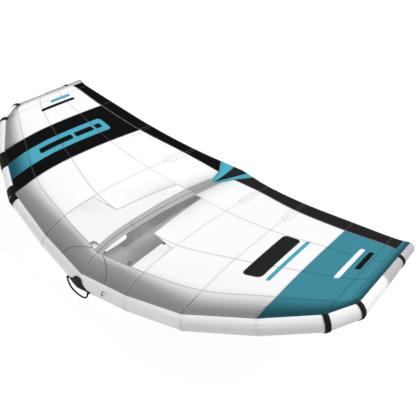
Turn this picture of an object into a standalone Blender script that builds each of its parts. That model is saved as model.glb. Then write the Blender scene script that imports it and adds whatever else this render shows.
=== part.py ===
"""Wingfoil wing: inflatable leading edge, one strut, sewn canopy, soft handles.

Axes: +Y from the leading edge to the trailing edge, +Z up, +X to the port side.
Everything is worked out in the wing's own frame, whose zero is the nose seam on the
centre line, and an empty then moves it so that the part's origin is the seat of the
front handle on the underside of the strut, where the wing is held.
"""
import math

import bmesh
import bpy
from mathutils import Matrix, Vector

# Overall sizes, in metres
CENTRE_CHORD = 1.80
SEAM_HALF_SPAN = 1.48
TIP_RISE = 0.411
CENTRE_CAMBER = 0.139
CLOTH = 0.0012
CLEARANCE = 0.0003
SEAM_GAP = 0.0006

# Ribs, from the centre line to the tip seam: shares of the sizes above
RIB_NOSE_SPAN_SHARES = (0.0, 0.250, 0.508, 0.749, 0.931, 1.0)
RIB_TAIL_SPAN_SHARES = (0.0, 0.258, 0.520, 0.785, 0.962, 1.030)
RIB_NOSE_CHORD_SHARES = (0.0, 0.012, 0.036, 0.130, 0.240, 0.334)
RIB_TAIL_CHORD_SHARES = (1.0, 0.867, 0.783, 0.726, 0.698, 0.704)
RIB_NOSE_RISE_SHARES = (0.0, 0.166, 0.433, 0.715, 0.924, 1.0)
RIB_TAIL_RISE_SHARES = (0.0, 0.337, 0.615, 0.887, 1.047, 1.085)
RIB_CAMBER_SHARES = (1.0, 0.686, 0.457, 0.239, 0.079, 0.0)
RIB_NOSE_ROUNDNESS_SHARES = (3.8, 3.8, 2.2, 1.7, 1.7, 1.7)
CAMBER_PEAK_SHARE = 0.34
TAIL_FLATNESS_SHARE = 1.1
NOSE_BLEND_SHARE = 0.12

# Seams across the chord, as shares of each rib's chord
NOSE_SEAM_SHARES = (0.072, 0.095, 0.125, 0.154, 0.127, 0.100)
REAR_SEAM_SHARES = (0.589, 0.624, 0.646, 0.660, 0.649, 0.630)
BAND_SEAM_SHARES = (0.864, 0.912, 0.899, 0.884, 0.880, 0.820)
NOSE_ROW_SHARES = (0.0, 0.35, 0.68, 1.0)
MIDDLE_ROW_SHARES = (0.0, 0.13, 0.258, 0.306, 0.358, 0.50, 0.62, 0.74, 0.87, 1.0)
REAR_ROW_SHARES = (0.0, 0.30, 0.607, 0.632, 0.69, 0.84, 1.0)
BAND_ROW_SHARES = (0.0, 0.5, 1.0)
WEB_FIRST_ROW = 2
WINDOW_CORNER_ROW = 3
WINDOW_APEX_ROW = 4
WEB_LAST_ROW = 5
PATCH_FIRST_ROW = 2
INSERT_FIRST_ROW = 4
GORE_STEPS = 4
CENTRE_STEPS = 3

# Centre column: spine strip, windows and the vee at the trailing edge
SPINE_HALF_WIDTH = 0.030
SPINE_REAR_HALF_WIDTH = 0.048
WINDOW_APEX_SHARE = 0.473
WINDOW_REAR_SHARE = 0.325
PATCH_HALF_WIDTH = 0.177
PATCH_WIDTH_SHARES = (0.0, 0.0, 0.01, 0.11, 0.20, 0.34, 0.47, 0.74, 1.0)
INSERT_HALF_WIDTH = 0.071
INSERT_WIDTH_SHARES = (0.0, 0.0, 0.0, 0.0, 0.10, 0.26, 0.43, 0.71, 1.0)
BAND_END_SHARE = 0.57

# Leading edge tube
TUBE_SIDES = 20
LE_RADIUS = 0.098
LE_RADIUS_SHARES = (1.0, 0.80, 0.64, 0.60, 0.59, 0.57, 0.53, 0.39)
TIP_RUN_SHARES = (0.42, 1.0)
CASING_WALL = 0.0010
BLADDER_WALL = 0.0008
BLADDER_CLEARANCE = 0.0005
TIP_DOME = 0.022
TIP_DOME_SHARES = (0.45, 0.85, 1.0)
TIP_DOME_RADIUS_SHARES = (0.93, 0.66, 0.28)
BAND_WIDTH = 0.032
BAND_THICKNESS = 0.0015

# Strut under the centre line
STRUT_RADIUS = 0.090
STRUT_NECK_RADIUS = 0.070
STRUT_NECK_DROP = 0.006
STRUT_NECK_CHORD_SHARE = 0.064
STRUT_FRONT_CHORD_SHARES = (0.112, 0.156)
STRUT_FRONT_RADIUS_SHARES = (0.975, 1.0)
WEB_HEIGHT = 0.141
WEB_KEY_SHARES = (0.2056, 0.333, 0.500, 0.628, 0.722, 0.778, 0.820, 1.0)
WEB_HEIGHT_SHARES = (1.0, 0.93, 0.79, 0.55, 0.31, 0.13, 0.0, 0.0)
STRUT_RADIUS_SHARES = (1.0, 0.985, 0.95, 0.89, 0.82, 0.76, 0.70, 0.24)
STRUT_TAIL_SHARES = (0.864, 0.900)
TAIL_CAP_SHARES = (0.925, 0.945)
TAIL_CAP_RADIUS_SHARES = (0.80, 0.36)

# Soft handles under the strut
FRONT_HANDLE_CHORD = 0.84
REAR_HANDLE_CHORD = 1.30
HANDLE_LENGTH = 0.20
HANDLE_DROP = 0.070
WEBBING_WIDTH = 0.025
WEBBING_THICKNESS = 0.0025
WEBBING_TAB_RADIUS = 0.005
GRIP_LENGTH = 0.120
GRIP_RADIUS = 0.0165
GRIP_BORE_RADIUS = 0.0131
GRIP_SIDES = 16
ANCHOR_LENGTH = 0.050
ANCHOR_HALF_ANGLE = math.radians(34)
ANCHOR_THICKNESS = 0.0018

# Carrying handle and leash loop on the nose
LE_STRAP_HALF_LENGTH = 0.105
LE_STRAP_ANGLE = math.radians(72)
LE_STRAP_WIDTH = 0.020
LE_STRAP_THICKNESS = 0.0025
LE_PAD_HALF_LENGTH = 0.048
LE_PAD_HEIGHT = 0.072
LE_PAD_THICKNESS = 0.008
PAD_ALONG_SHARES = (-1, -0.9, -0.6, 0, 0.6, 0.9, 1)
LE_LOOP_RADIUS = 0.005
LE_LOOP_DROP = 0.078
LE_LOOP_STANDOFF = 0.012
KEEPER_THICKNESS = 0.004
KEEPER_WIDTH = 0.014
LEASH_LOOP_SPAN = 0.222
LEASH_LOOP_ANGLE = math.radians(40)
LEASH_LOOP_HEIGHT = 0.026
LEASH_LOOP_STANDOFF = 0.014
LEASH_LOOP_RADIUS = 0.0025

# Inflation valve on the strut's port side
VALVE_CHORD = 0.325
VALVE_ANGLE = math.radians(15)
FLANGE_RADIUS = 0.020
FLANGE_HEIGHT = 0.003
VALVE_RADIUS = 0.013
VALVE_HEIGHT = 0.010
VALVE_STEM_RADIUS = 0.009
VALVE_BORE_RADIUS = 0.0070
VALVE_STEM_DEPTH = 0.006
CAP_HEIGHT = 0.0035
CAP_TAB_LENGTH = 0.008
CAP_TAB_WIDTH = 0.008
CAP_BARREL_RADIUS = 0.0018
CAP_BARREL_LENGTH = 0.010
TURNED_STEPS = 20

# Hose between the leading edge and the strut, with its pinch clip
HOSE_RADIUS = 0.007
HOSE_BORE_RADIUS = 0.0045
HOSE_STEPS = 22
HOSE_LE_SPAN = 0.170
HOSE_LE_ANGLE = math.radians(255)
HOSE_STRUT_CHORD = 0.245
HOSE_STRUT_ANGLE = math.radians(143)
FITTING_FLANGE_RADIUS = 0.016
FITTING_FLANGE_HEIGHT = 0.003
FITTING_RADIUS = 0.0085
FITTING_HEIGHT = 0.016
FITTING_STEM_DEPTH = 0.006
CLIP_LENGTH = 0.032
CLIP_WIDTH = 0.021
CLIP_POST = 0.0025
CLIP_PLATE = 0.003
CLIP_EASE = 0.0008

# Battens under the first rib of each side
BATTEN_WIDTH = 0.012
BATTEN_THICKNESS = 0.0012

MATERIALS = {
    "white_dacron": ((0.86, 0.87, 0.88, 1), 0.62, 0.0),
    "grey_dacron": ((0.62, 0.63, 0.64, 1), 0.6, 0.0),
    "white_canopy": ((0.84, 0.84, 0.85, 1), 0.5, 0.0),
    "black_canopy": ((0.012, 0.012, 0.013, 1), 0.5, 0.0),
    "charcoal_canopy": ((0.03, 0.03, 0.032, 1), 0.5, 0.0),
    "teal_canopy": ((0.05, 0.26, 0.33, 1), 0.5, 0.0),
    "window_film": ((0.9, 0.92, 0.93, 0.35), 0.1, 0.0),
    "bladder_film": ((0.75, 0.78, 0.74, 0.6), 0.3, 0.0),
    "black_webbing": ((0.02, 0.02, 0.02, 1), 0.8, 0.0),
    "neoprene": ((0.03, 0.03, 0.03, 1), 0.9, 0.0),
    "black_plastic": ((0.03, 0.03, 0.032, 1), 0.4, 0.0),
    "fibreglass": ((0.75, 0.72, 0.6, 1), 0.5, 0.0),
    "hose_plastic": ((0.35, 0.36, 0.37, 1), 0.3, 0.0),
}


def clear_scene():
    for old in list(bpy.data.objects):
        bpy.data.objects.remove(old, do_unlink=True)


clear_scene()
parts = bpy.data.collections.new("wingfoil_wing")
bpy.context.scene.collection.children.link(parts)
cutters = bpy.data.collections.new("cutters")
bpy.context.scene.collection.children.link(cutters)


def material(name):
    made = bpy.data.materials.get(name)
    if made:
        return made
    color, roughness, metallic = MATERIALS[name]
    made = bpy.data.materials.new(name)
    made.use_nodes = True
    shader = made.node_tree.nodes["Principled BSDF"]
    shader.inputs["Base Color"].default_value = color
    shader.inputs["Roughness"].default_value = roughness
    shader.inputs["Metallic"].default_value = metallic
    return made


def between(low, high, share):
    return low + (high - low) * share


def table_line(values, place):
    """Straight runs between the values of a table, read at a real-valued place."""
    index = int(min(max(math.floor(place), 0), len(values) - 2))
    return between(values[index], values[index + 1], place - index)


def table_curve(values, place):
    """A smooth curve through the values of a table (Catmull-Rom, straight at the ends)."""
    index = int(min(max(math.floor(place), 0), len(values) - 2))
    t = place - index
    b, c = values[index], values[index + 1]
    a = values[index - 1] if index > 0 else b + (b - c)
    d = values[index + 2] if index + 2 < len(values) else c + (c - b)
    ease = t * t * (3 - 2 * t)
    leave = t * (1 - t) ** 2
    arrive = -t * t * (1 - t)
    return b + (c - b) * ease + (c - a) / 2 * leave + (d - b) / 2 * arrive


def keyed(keys, values, place):
    """Straight runs between values that stand at uneven keys."""
    if place <= keys[0]:
        return values[0]
    for low, high, first, last in zip(keys, keys[1:], values, values[1:]):
        if place <= high:
            return between(first, last, (place - low) / (high - low))
    return values[-1]


# The canopy as a surface: rib is the place along the span, chord the share behind the nose seam
NOSE_POINTS = [
    Vector((SEAM_HALF_SPAN * x, CENTRE_CHORD * y, TIP_RISE * z))
    for x, y, z in zip(RIB_NOSE_SPAN_SHARES, RIB_NOSE_CHORD_SHARES, RIB_NOSE_RISE_SHARES)
]
TAIL_POINTS = [
    Vector((SEAM_HALF_SPAN * x, CENTRE_CHORD * y, TIP_RISE * z))
    for x, y, z in zip(RIB_TAIL_SPAN_SHARES, RIB_TAIL_CHORD_SHARES, RIB_TAIL_RISE_SHARES)
]
TIP = len(RIB_NOSE_SPAN_SHARES) - 1


def camber_share(rib, chord):
    """Height of the camber line: a steep power curve up to its peak, then a cosine down to the tail."""
    if chord <= CAMBER_PEAK_SHARE:
        return 1 - (1 - chord / CAMBER_PEAK_SHARE) ** table_curve(RIB_NOSE_ROUNDNESS_SHARES, rib)
    turn = (chord - CAMBER_PEAK_SHARE) / (1 - CAMBER_PEAK_SHARE)
    return max(math.cos(turn * math.pi / 2), 0) ** TAIL_FLATNESS_SHARE


def canopy_point(rib, chord):
    side = -1 if rib < 0 else 1
    rib = min(abs(rib), TIP)
    nose = table_curve(NOSE_POINTS, rib)
    point = nose.lerp(table_curve(TAIL_POINTS, rib), chord)
    point.z += CENTRE_CAMBER * table_curve(RIB_CAMBER_SHARES, rib) * camber_share(rib, chord)
    straight = max(1 - chord / NOSE_BLEND_SHARE, 0)
    point += (table_line(NOSE_POINTS, rib) - nose) * straight
    point.x *= side
    return point


def canopy_normal(rib, chord):
    step = 0.01
    side = -1 if rib < 0 else 1
    rib = abs(rib)
    low, high = max(rib - step, 0), min(rib + step, TIP)
    front, back = max(chord - step, 0), min(chord + step, 1)
    along = canopy_point(high, chord) - canopy_point(low, chord)
    aft = canopy_point(rib, back) - canopy_point(rib, front)
    normal = along.cross(aft).normalized()
    normal.x *= side
    return normal


def on_canopy(rib, chord, lift):
    return canopy_point(rib, chord) + canopy_normal(rib, chord) * lift


def seam_line(shares, rib):
    return table_curve(shares, abs(rib))


# Objects made from rows of points
wing = bpy.data.objects.new("wing", None)
parts.objects.link(wing)


def add_object(name, mesh, finish, parent=None):
    made = bpy.data.objects.new(name, mesh)
    parts.objects.link(made)
    made.parent = parent or wing
    if finish:
        mesh.materials.append(material(finish))
    return made


def smooth(mesh):
    mesh.shade_smooth()
    mesh.set_sharp_from_angle(angle=math.radians(35))


def sheet_mesh(name, grids):
    """One mesh from grids of points; each grid says which cells it keeps and whether its rows close."""
    form = bmesh.new()
    for rows, keep, closed in grids:
        made = [[form.verts.new(point) for point in row] for row in rows]
        across = len(rows[0]) if closed else len(rows[0]) - 1
        for i in range(len(rows) - 1):
            for j in range(across):
                if keep and not keep(i, j):
                    continue
                k = (j + 1) % len(rows[0])
                form.faces.new((made[i][j], made[i][k], made[i + 1][k], made[i + 1][j]))
    loose = [vert for vert in form.verts if not vert.link_faces]
    bmesh.ops.delete(form, geom=loose, context="VERTS")
    mesh = bpy.data.meshes.new(name)
    form.to_mesh(mesh)
    form.free()
    smooth(mesh)
    return mesh


def thicken(made, thickness, offset=-1):
    wall = made.modifiers.new("wall", "SOLIDIFY")
    wall.thickness = thickness
    wall.offset = offset
    wall.use_even_offset = True
    return made


def sheet(name, finish, grids, thickness, offset=-1, parent=None):
    grids = [grid if isinstance(grid, tuple) else (grid, None, False) for grid in grids]
    return thicken(add_object(name, sheet_mesh(name, grids), finish, parent), thickness, offset)


def panel(name, finish, edges, rows, steps, side, keep=None):
    """A cloth panel: edges(row share) gives its two rib places, rows its chord shares at a rib."""
    top = CLEARANCE + CLOTH
    points = []
    for row, chord_at in enumerate(rows):
        near, far = edges(row)
        line = []
        for step in range(steps + 1):
            rib = between(near, far, step / steps)
            line.append(on_canopy(rib * side, chord_at(rib), top))
        points.append(line)
    if side < 0:
        points = [line[::-1] for line in points]
    if keep and side < 0:
        mirrored = keep
        keep = lambda i, j: mirrored(i, steps - 1 - j)
    return sheet(name, finish, [(points, keep, False)], CLOTH)


def inner_rib_span(chord):
    """Width of the centre column, from the centre line to the first rib, at a chord share."""
    return SEAM_HALF_SPAN * between(RIB_NOSE_SPAN_SHARES[1], RIB_TAIL_SPAN_SHARES[1], chord)


def chord_inset(rib):
    """Half a seam gap as a share of the chord at a rib."""
    chord = (table_curve(TAIL_POINTS, rib) - table_curve(NOSE_POINTS, rib)).length
    return SEAM_GAP / 2 / chord


def rib_inset(rib):
    """Half a seam gap as a share of the distance between two ribs."""
    index = min(int(rib), TIP - 1)
    return SEAM_GAP / 2 / (NOSE_POINTS[index + 1].x - NOSE_POINTS[index].x)


def rows_between(low, high, shares):
    """Chord shares of rows between two seams, held half a seam gap inside both."""
    def maker(share):
        def at(rib):
            first = (low(rib) + chord_inset(rib)) if low else 0
            last = high(rib) - chord_inset(rib) if high else 1
            return between(first, last, share)
        return at
    return [maker(share) for share in shares]


def nose_seam(rib):
    return seam_line(NOSE_SEAM_SHARES, rib)


def rear_seam(rib):
    return seam_line(REAR_SEAM_SHARES, rib)


def band_seam(rib):
    return seam_line(BAND_SEAM_SHARES, rib)


def middle_chord(row):
    """Chord share on the centre line of a row between the nose seam and the rear seam."""
    return between(NOSE_SEAM_SHARES[0], REAR_SEAM_SHARES[0], MIDDLE_ROW_SHARES[row])


def spine_edge(row):
    share = MIDDLE_ROW_SHARES[row]
    return between(SPINE_HALF_WIDTH, SPINE_REAR_HALF_WIDTH, share) / inner_rib_span(middle_chord(row))


def window_edge(row):
    """Outer edge of a window: the first rib, then in along the corner, then slowly in to the rear."""
    if row < WINDOW_CORNER_ROW:
        return 1.0
    if row == WINDOW_CORNER_ROW:
        return 1 - 4 * rib_inset(0)
    first, share = MIDDLE_ROW_SHARES[WINDOW_APEX_ROW], MIDDLE_ROW_SHARES[row]
    return between(WINDOW_APEX_SHARE, WINDOW_REAR_SHARE, (share - first) / (1 - first))


def tail_chord(row):
    """Chord share on the centre line of a row of the rear panels, then of the band behind them."""
    if row < len(REAR_ROW_SHARES):
        return between(REAR_SEAM_SHARES[0], BAND_SEAM_SHARES[0], REAR_ROW_SHARES[row])
    return between(BAND_SEAM_SHARES[0], 1, BAND_ROW_SHARES[row - len(REAR_ROW_SHARES) + 1])


def tail_edge(row, width, shares):
    """Half width of the vee, or of its insert, on a row of the rear panels or the band."""
    return width * shares[row] / inner_rib_span(tail_chord(row))


def make_canopy():
    gap = rib_inset(0)
    middle = rows_between(nose_seam, rear_seam, MIDDLE_ROW_SHARES)
    rear = rows_between(rear_seam, band_seam, REAR_ROW_SHARES)
    nose = rows_between(None, nose_seam, NOSE_ROW_SHARES)
    band = rows_between(band_seam, None, BAND_ROW_SHARES)
    top = CLEARANCE + CLOTH
    strip = []
    for row, chord_at in enumerate(middle):
        edge = spine_edge(row) - gap
        strip.append([on_canopy(rib, chord_at(abs(rib)), top) for rib in (-edge, 0, edge)])
    sheet("spine_strip", "grey_dacron", [strip], CLOTH)

    def rear_edges(row):
        return tail_edge(row, PATCH_HALF_WIDTH, PATCH_WIDTH_SHARES) + gap, 1 - gap

    def band_edges(row):
        return rear_edges(row + len(REAR_ROW_SHARES) - 1)

    def side_edges(row):
        return window_edge(row + WINDOW_CORNER_ROW) + gap, 1 - gap

    for side, label in ((1, "port"), (-1, "starboard")):
        coloured = "teal_canopy" if side > 0 else "white_canopy"
        dark = "white_canopy" if side > 0 else "black_canopy"
        panel("nose_panel_" + label, "white_canopy", lambda row: (gap, 1 - gap), nose, CENTRE_STEPS, side)
        panel("window_" + label, "window_film",
              lambda row: (spine_edge(row) + gap, window_edge(row) - gap), middle, CENTRE_STEPS, side)
        panel("side_panel_" + label, "white_canopy", side_edges, middle[WINDOW_CORNER_ROW:], CENTRE_STEPS - 1, side)
        panel("rear_panel_" + label, "white_canopy", rear_edges, rear, CENTRE_STEPS, side)
        full = nose[:-1] + middle[:-1] + rear
        for name, finish, first in (("gore_inner_", "white_canopy", 1), ("gore_mid_", dark, 2)):
            inset = rib_inset(first)
            panel(name + label, finish, lambda row, a=first, b=inset: (a + b, a + 1 - b), full, GORE_STEPS, side)
        make_tip_panel("tip_panel_" + label, coloured, side)
        make_band("te_band_" + label, "black_canopy" if side < 0 else "charcoal_canopy", band_edges, band, side)
    make_patch(rear + band[1:])


def make_tip_panel(name, finish, side):
    """The outer panel: it closes on the tip tube and runs round the end of the dark band."""
    ribs = [3 + rib_inset(3), 3.35, 3.7, 4.0, 4 + BAND_END_SHARE * 0.5, 4 + BAND_END_SHARE, TIP - 0.001]
    shares = [0.0, 0.05, 0.11, 0.2, 0.3, 0.42, 0.55, 0.7, 0.85]
    rows = []
    for share in shares + [1.0]:
        line = []
        for rib in ribs:
            line.append(on_canopy(rib * side, share * band_seam(rib), CLEARANCE + CLOTH))
        rows.append(line)
    rows.append([on_canopy(rib * side, 1.0, CLEARANCE + CLOTH) for rib in ribs])
    last = len(shares)
    end = len(ribs) - 2
    cells = len(ribs) - 1
    if side < 0:
        rows = [line[::-1] for line in rows]
        end = 0
    return sheet(name, finish, [(rows, lambda i, j: i < last or j == end and cells > 0, False)], CLOTH)


def make_band(name, finish, centre_edges, rows, side):
    """The reinforced band along the trailing edge, from the centre vee to just inside the tip."""
    end = 4 + BAND_END_SHARE - 2 * rib_inset(4)
    ribs = [0.0, 1 / 3, 2 / 3] + [1 + step / GORE_STEPS for step in range(2 * GORE_STEPS)] + [3, 3.35, 3.7, 4.0, end]
    points = []
    for row, chord_at in enumerate(rows):
        near = centre_edges(row)[0]
        line = []
        for rib in ribs:
            place = between(near, 1, rib) if rib < 1 else rib
            line.append(on_canopy(place * side, chord_at(place), CLEARANCE + CLOTH))
        points.append(line)
    if side < 0:
        points = [line[::-1] for line in points]
    return sheet(name, finish, [(points, None, False)], CLOTH)


def make_patch(rows):
    """The vee at the middle of the trailing edge: a coloured frame round a dark insert."""
    gap = rib_inset(0)
    frame, insert = [], []
    for row in range(PATCH_FIRST_ROW, len(rows)):
        outer = tail_edge(row, PATCH_HALF_WIDTH, PATCH_WIDTH_SHARES) - gap
        inner = tail_edge(row, INSERT_HALF_WIDTH, INSERT_WIDTH_SHARES) + gap
        step = chord_inset(0) * 2 if row == PATCH_FIRST_ROW else 0
        ribs = (-outer, -(outer + inner) / 2, -inner, 0, inner, (outer + inner) / 2, outer)
        frame.append([on_canopy(rib, rows[row](abs(rib)) + step, CLEARANCE + CLOTH) for rib in ribs])
        if row >= INSERT_FIRST_ROW:
            edge = inner - 2 * gap
            step = chord_inset(0) * 2 if row == INSERT_FIRST_ROW else 0
            insert.append([on_canopy(rib, rows[row](abs(rib)) + step, CLEARANCE + CLOTH) for rib in (-edge, 0, edge)])
    open_from = INSERT_FIRST_ROW - PATCH_FIRST_ROW
    sheet("te_patch", "teal_canopy", [(frame, lambda i, j: i < open_from or j not in (2, 3), False)], CLOTH)
    sheet("te_insert", "black_canopy", [insert], CLOTH)


def make_batten(label, side):
    """A flat batten under the first rib's seam, running back into the band."""
    rows = rows_between(rear_seam, band_seam, REAR_ROW_SHARES)[1:] + rows_between(band_seam, None, (0.0, 0.5))[1:]
    half = BATTEN_WIDTH / 2 / (NOSE_POINTS[2].x - NOSE_POINTS[1].x)
    points = []
    for chord_at in rows:
        line = [on_canopy(place * side, chord_at(1), -CLEARANCE) for place in (1 - half, 1, 1 + half)]
        points.append(line if side > 0 else line[::-1])
    return sheet("batten_" + label, "fibreglass", [points], BATTEN_THICKNESS)


# The leading edge tube: it hangs under the canopy's edge and touches the canopy's plane there
def le_stations():
    """Centre, seam direction, front direction and radius of the tube at each joint of one half."""
    tip_points = [NOSE_POINTS[TIP].lerp(TAIL_POINTS[TIP], share) for share in TIP_RUN_SHARES]
    seam = NOSE_POINTS + tip_points
    places = [(rib, 0.0) for rib in range(TIP + 1)] + [(TIP, share) for share in TIP_RUN_SHARES]
    found = []
    for index, (rib, chord) in enumerate(places):
        before = seam[index - 1] if index else seam[1] * 1
        if not index:
            before.x = -before.x
        after = seam[min(index + 1, len(seam) - 1)]
        incoming = (seam[index] - before).normalized()
        outgoing = (after - seam[index]).normalized() if after != seam[index] else incoming
        along = (incoming + outgoing).normalized()
        if rib == TIP:
            inner = canopy_point(TIP - 0.1, max(chord, 0.1))
            aft = inner - canopy_point(TIP, max(chord, 0.1))
        else:
            aft = canopy_point(rib, nose_seam(rib) * NOSE_ROW_SHARES[1]) - canopy_point(rib, 0)
        up = along.cross(aft).normalized()
        front = up.cross(along) * -1
        front = front if front.dot(aft) < 0 else front * -1
        radius = LE_RADIUS * LE_RADIUS_SHARES[index]
        found.append((seam[index] - up * (radius + CLEARANCE), up, front.normalized(), radius))
    return found


LE_STATIONS = le_stations()
LE_END = len(LE_STATIONS) - 1


def le_frame(station):
    """The tube's section at a real-valued station; negative stations are the starboard half."""
    side = -1 if station < 0 else 1
    values = [table_line([row[part] for row in LE_STATIONS], abs(station)) for part in range(4)]
    centre, up, front, radius = values
    up, front = up.normalized(), front.normalized()
    if side < 0:
        centre, up, front = (Vector((-v.x, v.y, v.z)) for v in (centre, up, front))
    return centre, up, front, radius


FACET = 2 * math.pi / TUBE_SIDES


def on_facets(angle, place_at):
    """A point on the flat between two neighbouring edges of a faceted tube."""
    index = math.floor(angle / FACET + 1e-6)
    share = angle / FACET - index
    first = place_at(index * FACET)
    return first if share < 1e-6 else first.lerp(place_at((index + 1) * FACET), share)


def le_joint_point(index, angle, lift, side):
    centre, up, front, radius = LE_STATIONS[index]
    point = centre + (up * math.cos(angle) + front * math.sin(angle)) * (radius + lift)
    point.x *= side
    return point


def le_point(station, angle, lift=0.0):
    """A point on the leading edge: angle 0 is the canopy's seam, 90 degrees the front underside."""
    side = -1 if station < 0 else 1
    index = min(int(abs(station)), LE_END - 1)
    first = on_facets(angle, lambda at: le_joint_point(index, at, lift, side))
    last = on_facets(angle, lambda at: le_joint_point(index + 1, at, lift, side))
    return first.lerp(last, abs(station) - index)


def angle_run(first, last):
    """Angles from first to last, with every edge of the faceted tube between them."""
    inner = range(math.floor(first / FACET + 1e-6) + 1, math.ceil(last / FACET - 1e-6))
    return [first] + [index * FACET for index in inner] + [last]


def seat_frame(point_at, place, angle, reach, across):
    """A frame on the middle of a facet, whose Z is the facet's outward normal."""
    middle = (math.floor(angle / FACET) + 0.5) * FACET
    seat = point_at(place, middle)
    along = point_at(place + reach, middle) - point_at(place - reach, middle)
    around = point_at(place, middle + FACET / 4) - point_at(place, middle - FACET / 4)
    normal = along.cross(around)
    if normal.dot(point_at(place, middle, FLANGE_RADIUS) - seat) < 0:
        normal = -normal
    return frame_at(seat, normal, across)


def le_station_at(span):
    """The station of the straight inner run whose axis lies a distance out from the centre line."""
    first, last = LE_STATIONS[0][0].x, LE_STATIONS[1][0].x
    return (span - first) / (last - first)


def ring(point_at, sides):
    return [point_at(2 * math.pi * step / sides) for step in range(sides)]


def le_rings(stations, lift):
    return [ring(lambda angle, s=station: le_point(s, angle, lift), TUBE_SIDES) for station in stations]


def oriented(rings, outward_from):
    """Reverses each ring when the first face would look inwards."""
    a, b, c = rings[0][0], rings[0][1], rings[1][0]
    normal = (b - a).cross(c - a)
    if normal.dot(a - outward_from) < 0:
        return [points[::-1] for points in rings]
    return rings


def tube(name, finish, rings, centre, wall, parent=None):
    return sheet(name, finish, [(oriented(rings, centre), None, True)], wall, parent=parent)


def le_segment(name, finish, stations):
    first, last = stations[0], stations[-1]
    inset_first = SEAM_GAP / 2 / (le_frame(first)[0] - le_frame(stations[1])[0]).length * abs(stations[1] - first)
    inset_last = SEAM_GAP / 2 / (le_frame(last)[0] - le_frame(stations[-2])[0]).length * abs(last - stations[-2])
    step = 1 if last > first else -1
    places = [first + step * inset_first] + stations[1:-1] + [last - step * inset_last]
    return tube(name, finish, le_rings(places, 0), le_frame(places[0])[0], CASING_WALL)


def dome_rings(lift):
    """Rings that round off the tube's end behind the last joint of the port half."""
    centre, up, front, radius = le_frame(LE_END)
    along = (centre - le_frame(LE_END - 1)[0]).normalized()
    found = []
    for reach, share in zip(TIP_DOME_SHARES, TIP_DOME_RADIUS_SHARES):
        middle = centre + along * (TIP_DOME * reach + lift)
        size = radius * share + lift
        found.append(ring(lambda angle: middle + (up * math.cos(angle) + front * math.sin(angle)) * size, TUBE_SIDES))
    return found


def mirrored_rings(rings):
    return [[Vector((-point.x, point.y, point.z)) for point in points] for points in rings]


def capped_mesh(name, rings, centre):
    """A mesh from closed rings whose last ring, and first ring if asked, ends in one flat face."""
    form = bmesh.new()
    rings = oriented(rings, centre)
    made = [[form.verts.new(point) for point in points] for points in rings]
    count = len(rings[0])
    for i in range(len(rings) - 1):
        for j in range(count):
            k = (j + 1) % count
            form.faces.new((made[i][j], made[i][k], made[i + 1][k], made[i + 1][j]))
    return form, made


def closed_tube(name, finish, rings, centre, wall, caps):
    """A thin shell along rings with flat ends; caps names the ends that are closed."""
    form, made = capped_mesh(name, rings, centre)
    if "last" in caps:
        form.faces.new(made[-1])
    if "first" in caps:
        form.faces.new(made[0][::-1])
    mesh = bpy.data.meshes.new(name)
    form.to_mesh(mesh)
    form.free()
    smooth(mesh)
    made = add_object(name, mesh, finish)
    return thicken(made, wall) if wall else made


def make_leading_edge():
    inset = SEAM_GAP / 2 / (le_frame(1)[0] - le_frame(0)[0]).length
    strap = le_station_at(LE_STRAP_HALF_LENGTH)
    inner = [strap, (1 + strap) / 2]
    half = inner + [1 - inset]
    centre_rings = le_rings([-place for place in half[::-1]] + [0] + half, 0)
    tube("le_casing_centre", "white_dacron", centre_rings, le_frame(-1)[0], CASING_WALL)
    for side, label in ((1, "port"), (-1, "starboard")):
        runs = (("inner", (1, 2)), ("mid", (2, 3)), ("outer", (3, 4, 5)), ("tip", (5, 6)))
        for name, places in runs:
            le_segment("le_casing_" + name + "_" + label, "white_dacron", [side * place for place in places])
        inset = SEAM_GAP / 2 / (le_frame(7)[0] - le_frame(6)[0]).length
        rings = le_rings([6 + inset, 6.5, 7], 0) + dome_rings(0)
        if side < 0:
            rings = mirrored_rings(rings)
        closed_tube("le_tip_sleeve_" + label, "grey_dacron", rings, le_frame(side * 6.0)[0], CASING_WALL, ("last",))
        make_bands(label, side)
    inset = -(CASING_WALL + BLADDER_CLEARANCE)
    half = inner + [1, 2, 3, 4, 5, 6, 6.95]
    stations = [-place for place in half[::-1]] + [0] + half
    closed_tube("le_bladder", "bladder_film", le_rings(stations, inset), le_frame(stations[0])[0],
                BLADDER_WALL, ("first", "last"))


def patch_rows(point_at, places, angles, lift):
    return [[point_at(place, angle, lift) for angle in angles] for place in places]


def sleeve(name, finish, point_at, patches, thickness, extra=0.0):
    """A thin curved piece that lies on a tube, over a run of places and a run of angles."""
    grids = []
    for places, angles in patches:
        rows = patch_rows(point_at, places, angles, CLEARANCE + thickness + extra)
        a, b, c = rows[0][0], rows[0][1], rows[1][0]
        inner = point_at(places[0], angles[0], 0)
        if (b - a).cross(c - a).dot(a - inner) < 0:
            rows = [row[::-1] for row in rows]
        grids.append((rows, None, False))
    return sheet(name, finish, grids, thickness)


def make_bands(label, side):
    """Black webbing bands round the tube at its two outer joints."""
    angles = angle_run(FACET, FACET * (TUBE_SIDES - 2))
    for joint, name in ((4, "le_band_outer_"), (5, "le_band_tip_")):
        before = BAND_WIDTH / 2 / (le_frame(joint)[0] - le_frame(joint - 1)[0]).length
        after = BAND_WIDTH / 2 / (le_frame(joint + 1)[0] - le_frame(joint)[0]).length
        places = [side * (joint - before), side * joint, side * (joint + after)]
        sleeve(name + label, "black_webbing", le_point, [(places, angles)], BAND_THICKNESS, CLEARANCE)


# The strut: its top follows the canopy's spine, lower by the height of the web
def spine_height(chord):
    return canopy_point(0, chord).z


def strut_section(chord):
    """Axis height and radius of the strut at a chord share behind the front run."""
    radius = STRUT_RADIUS * keyed(WEB_KEY_SHARES, STRUT_RADIUS_SHARES, chord)
    web = WEB_HEIGHT * keyed(WEB_KEY_SHARES, WEB_HEIGHT_SHARES, chord)
    return spine_height(chord) - web - CLEARANCE - radius, radius


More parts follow.
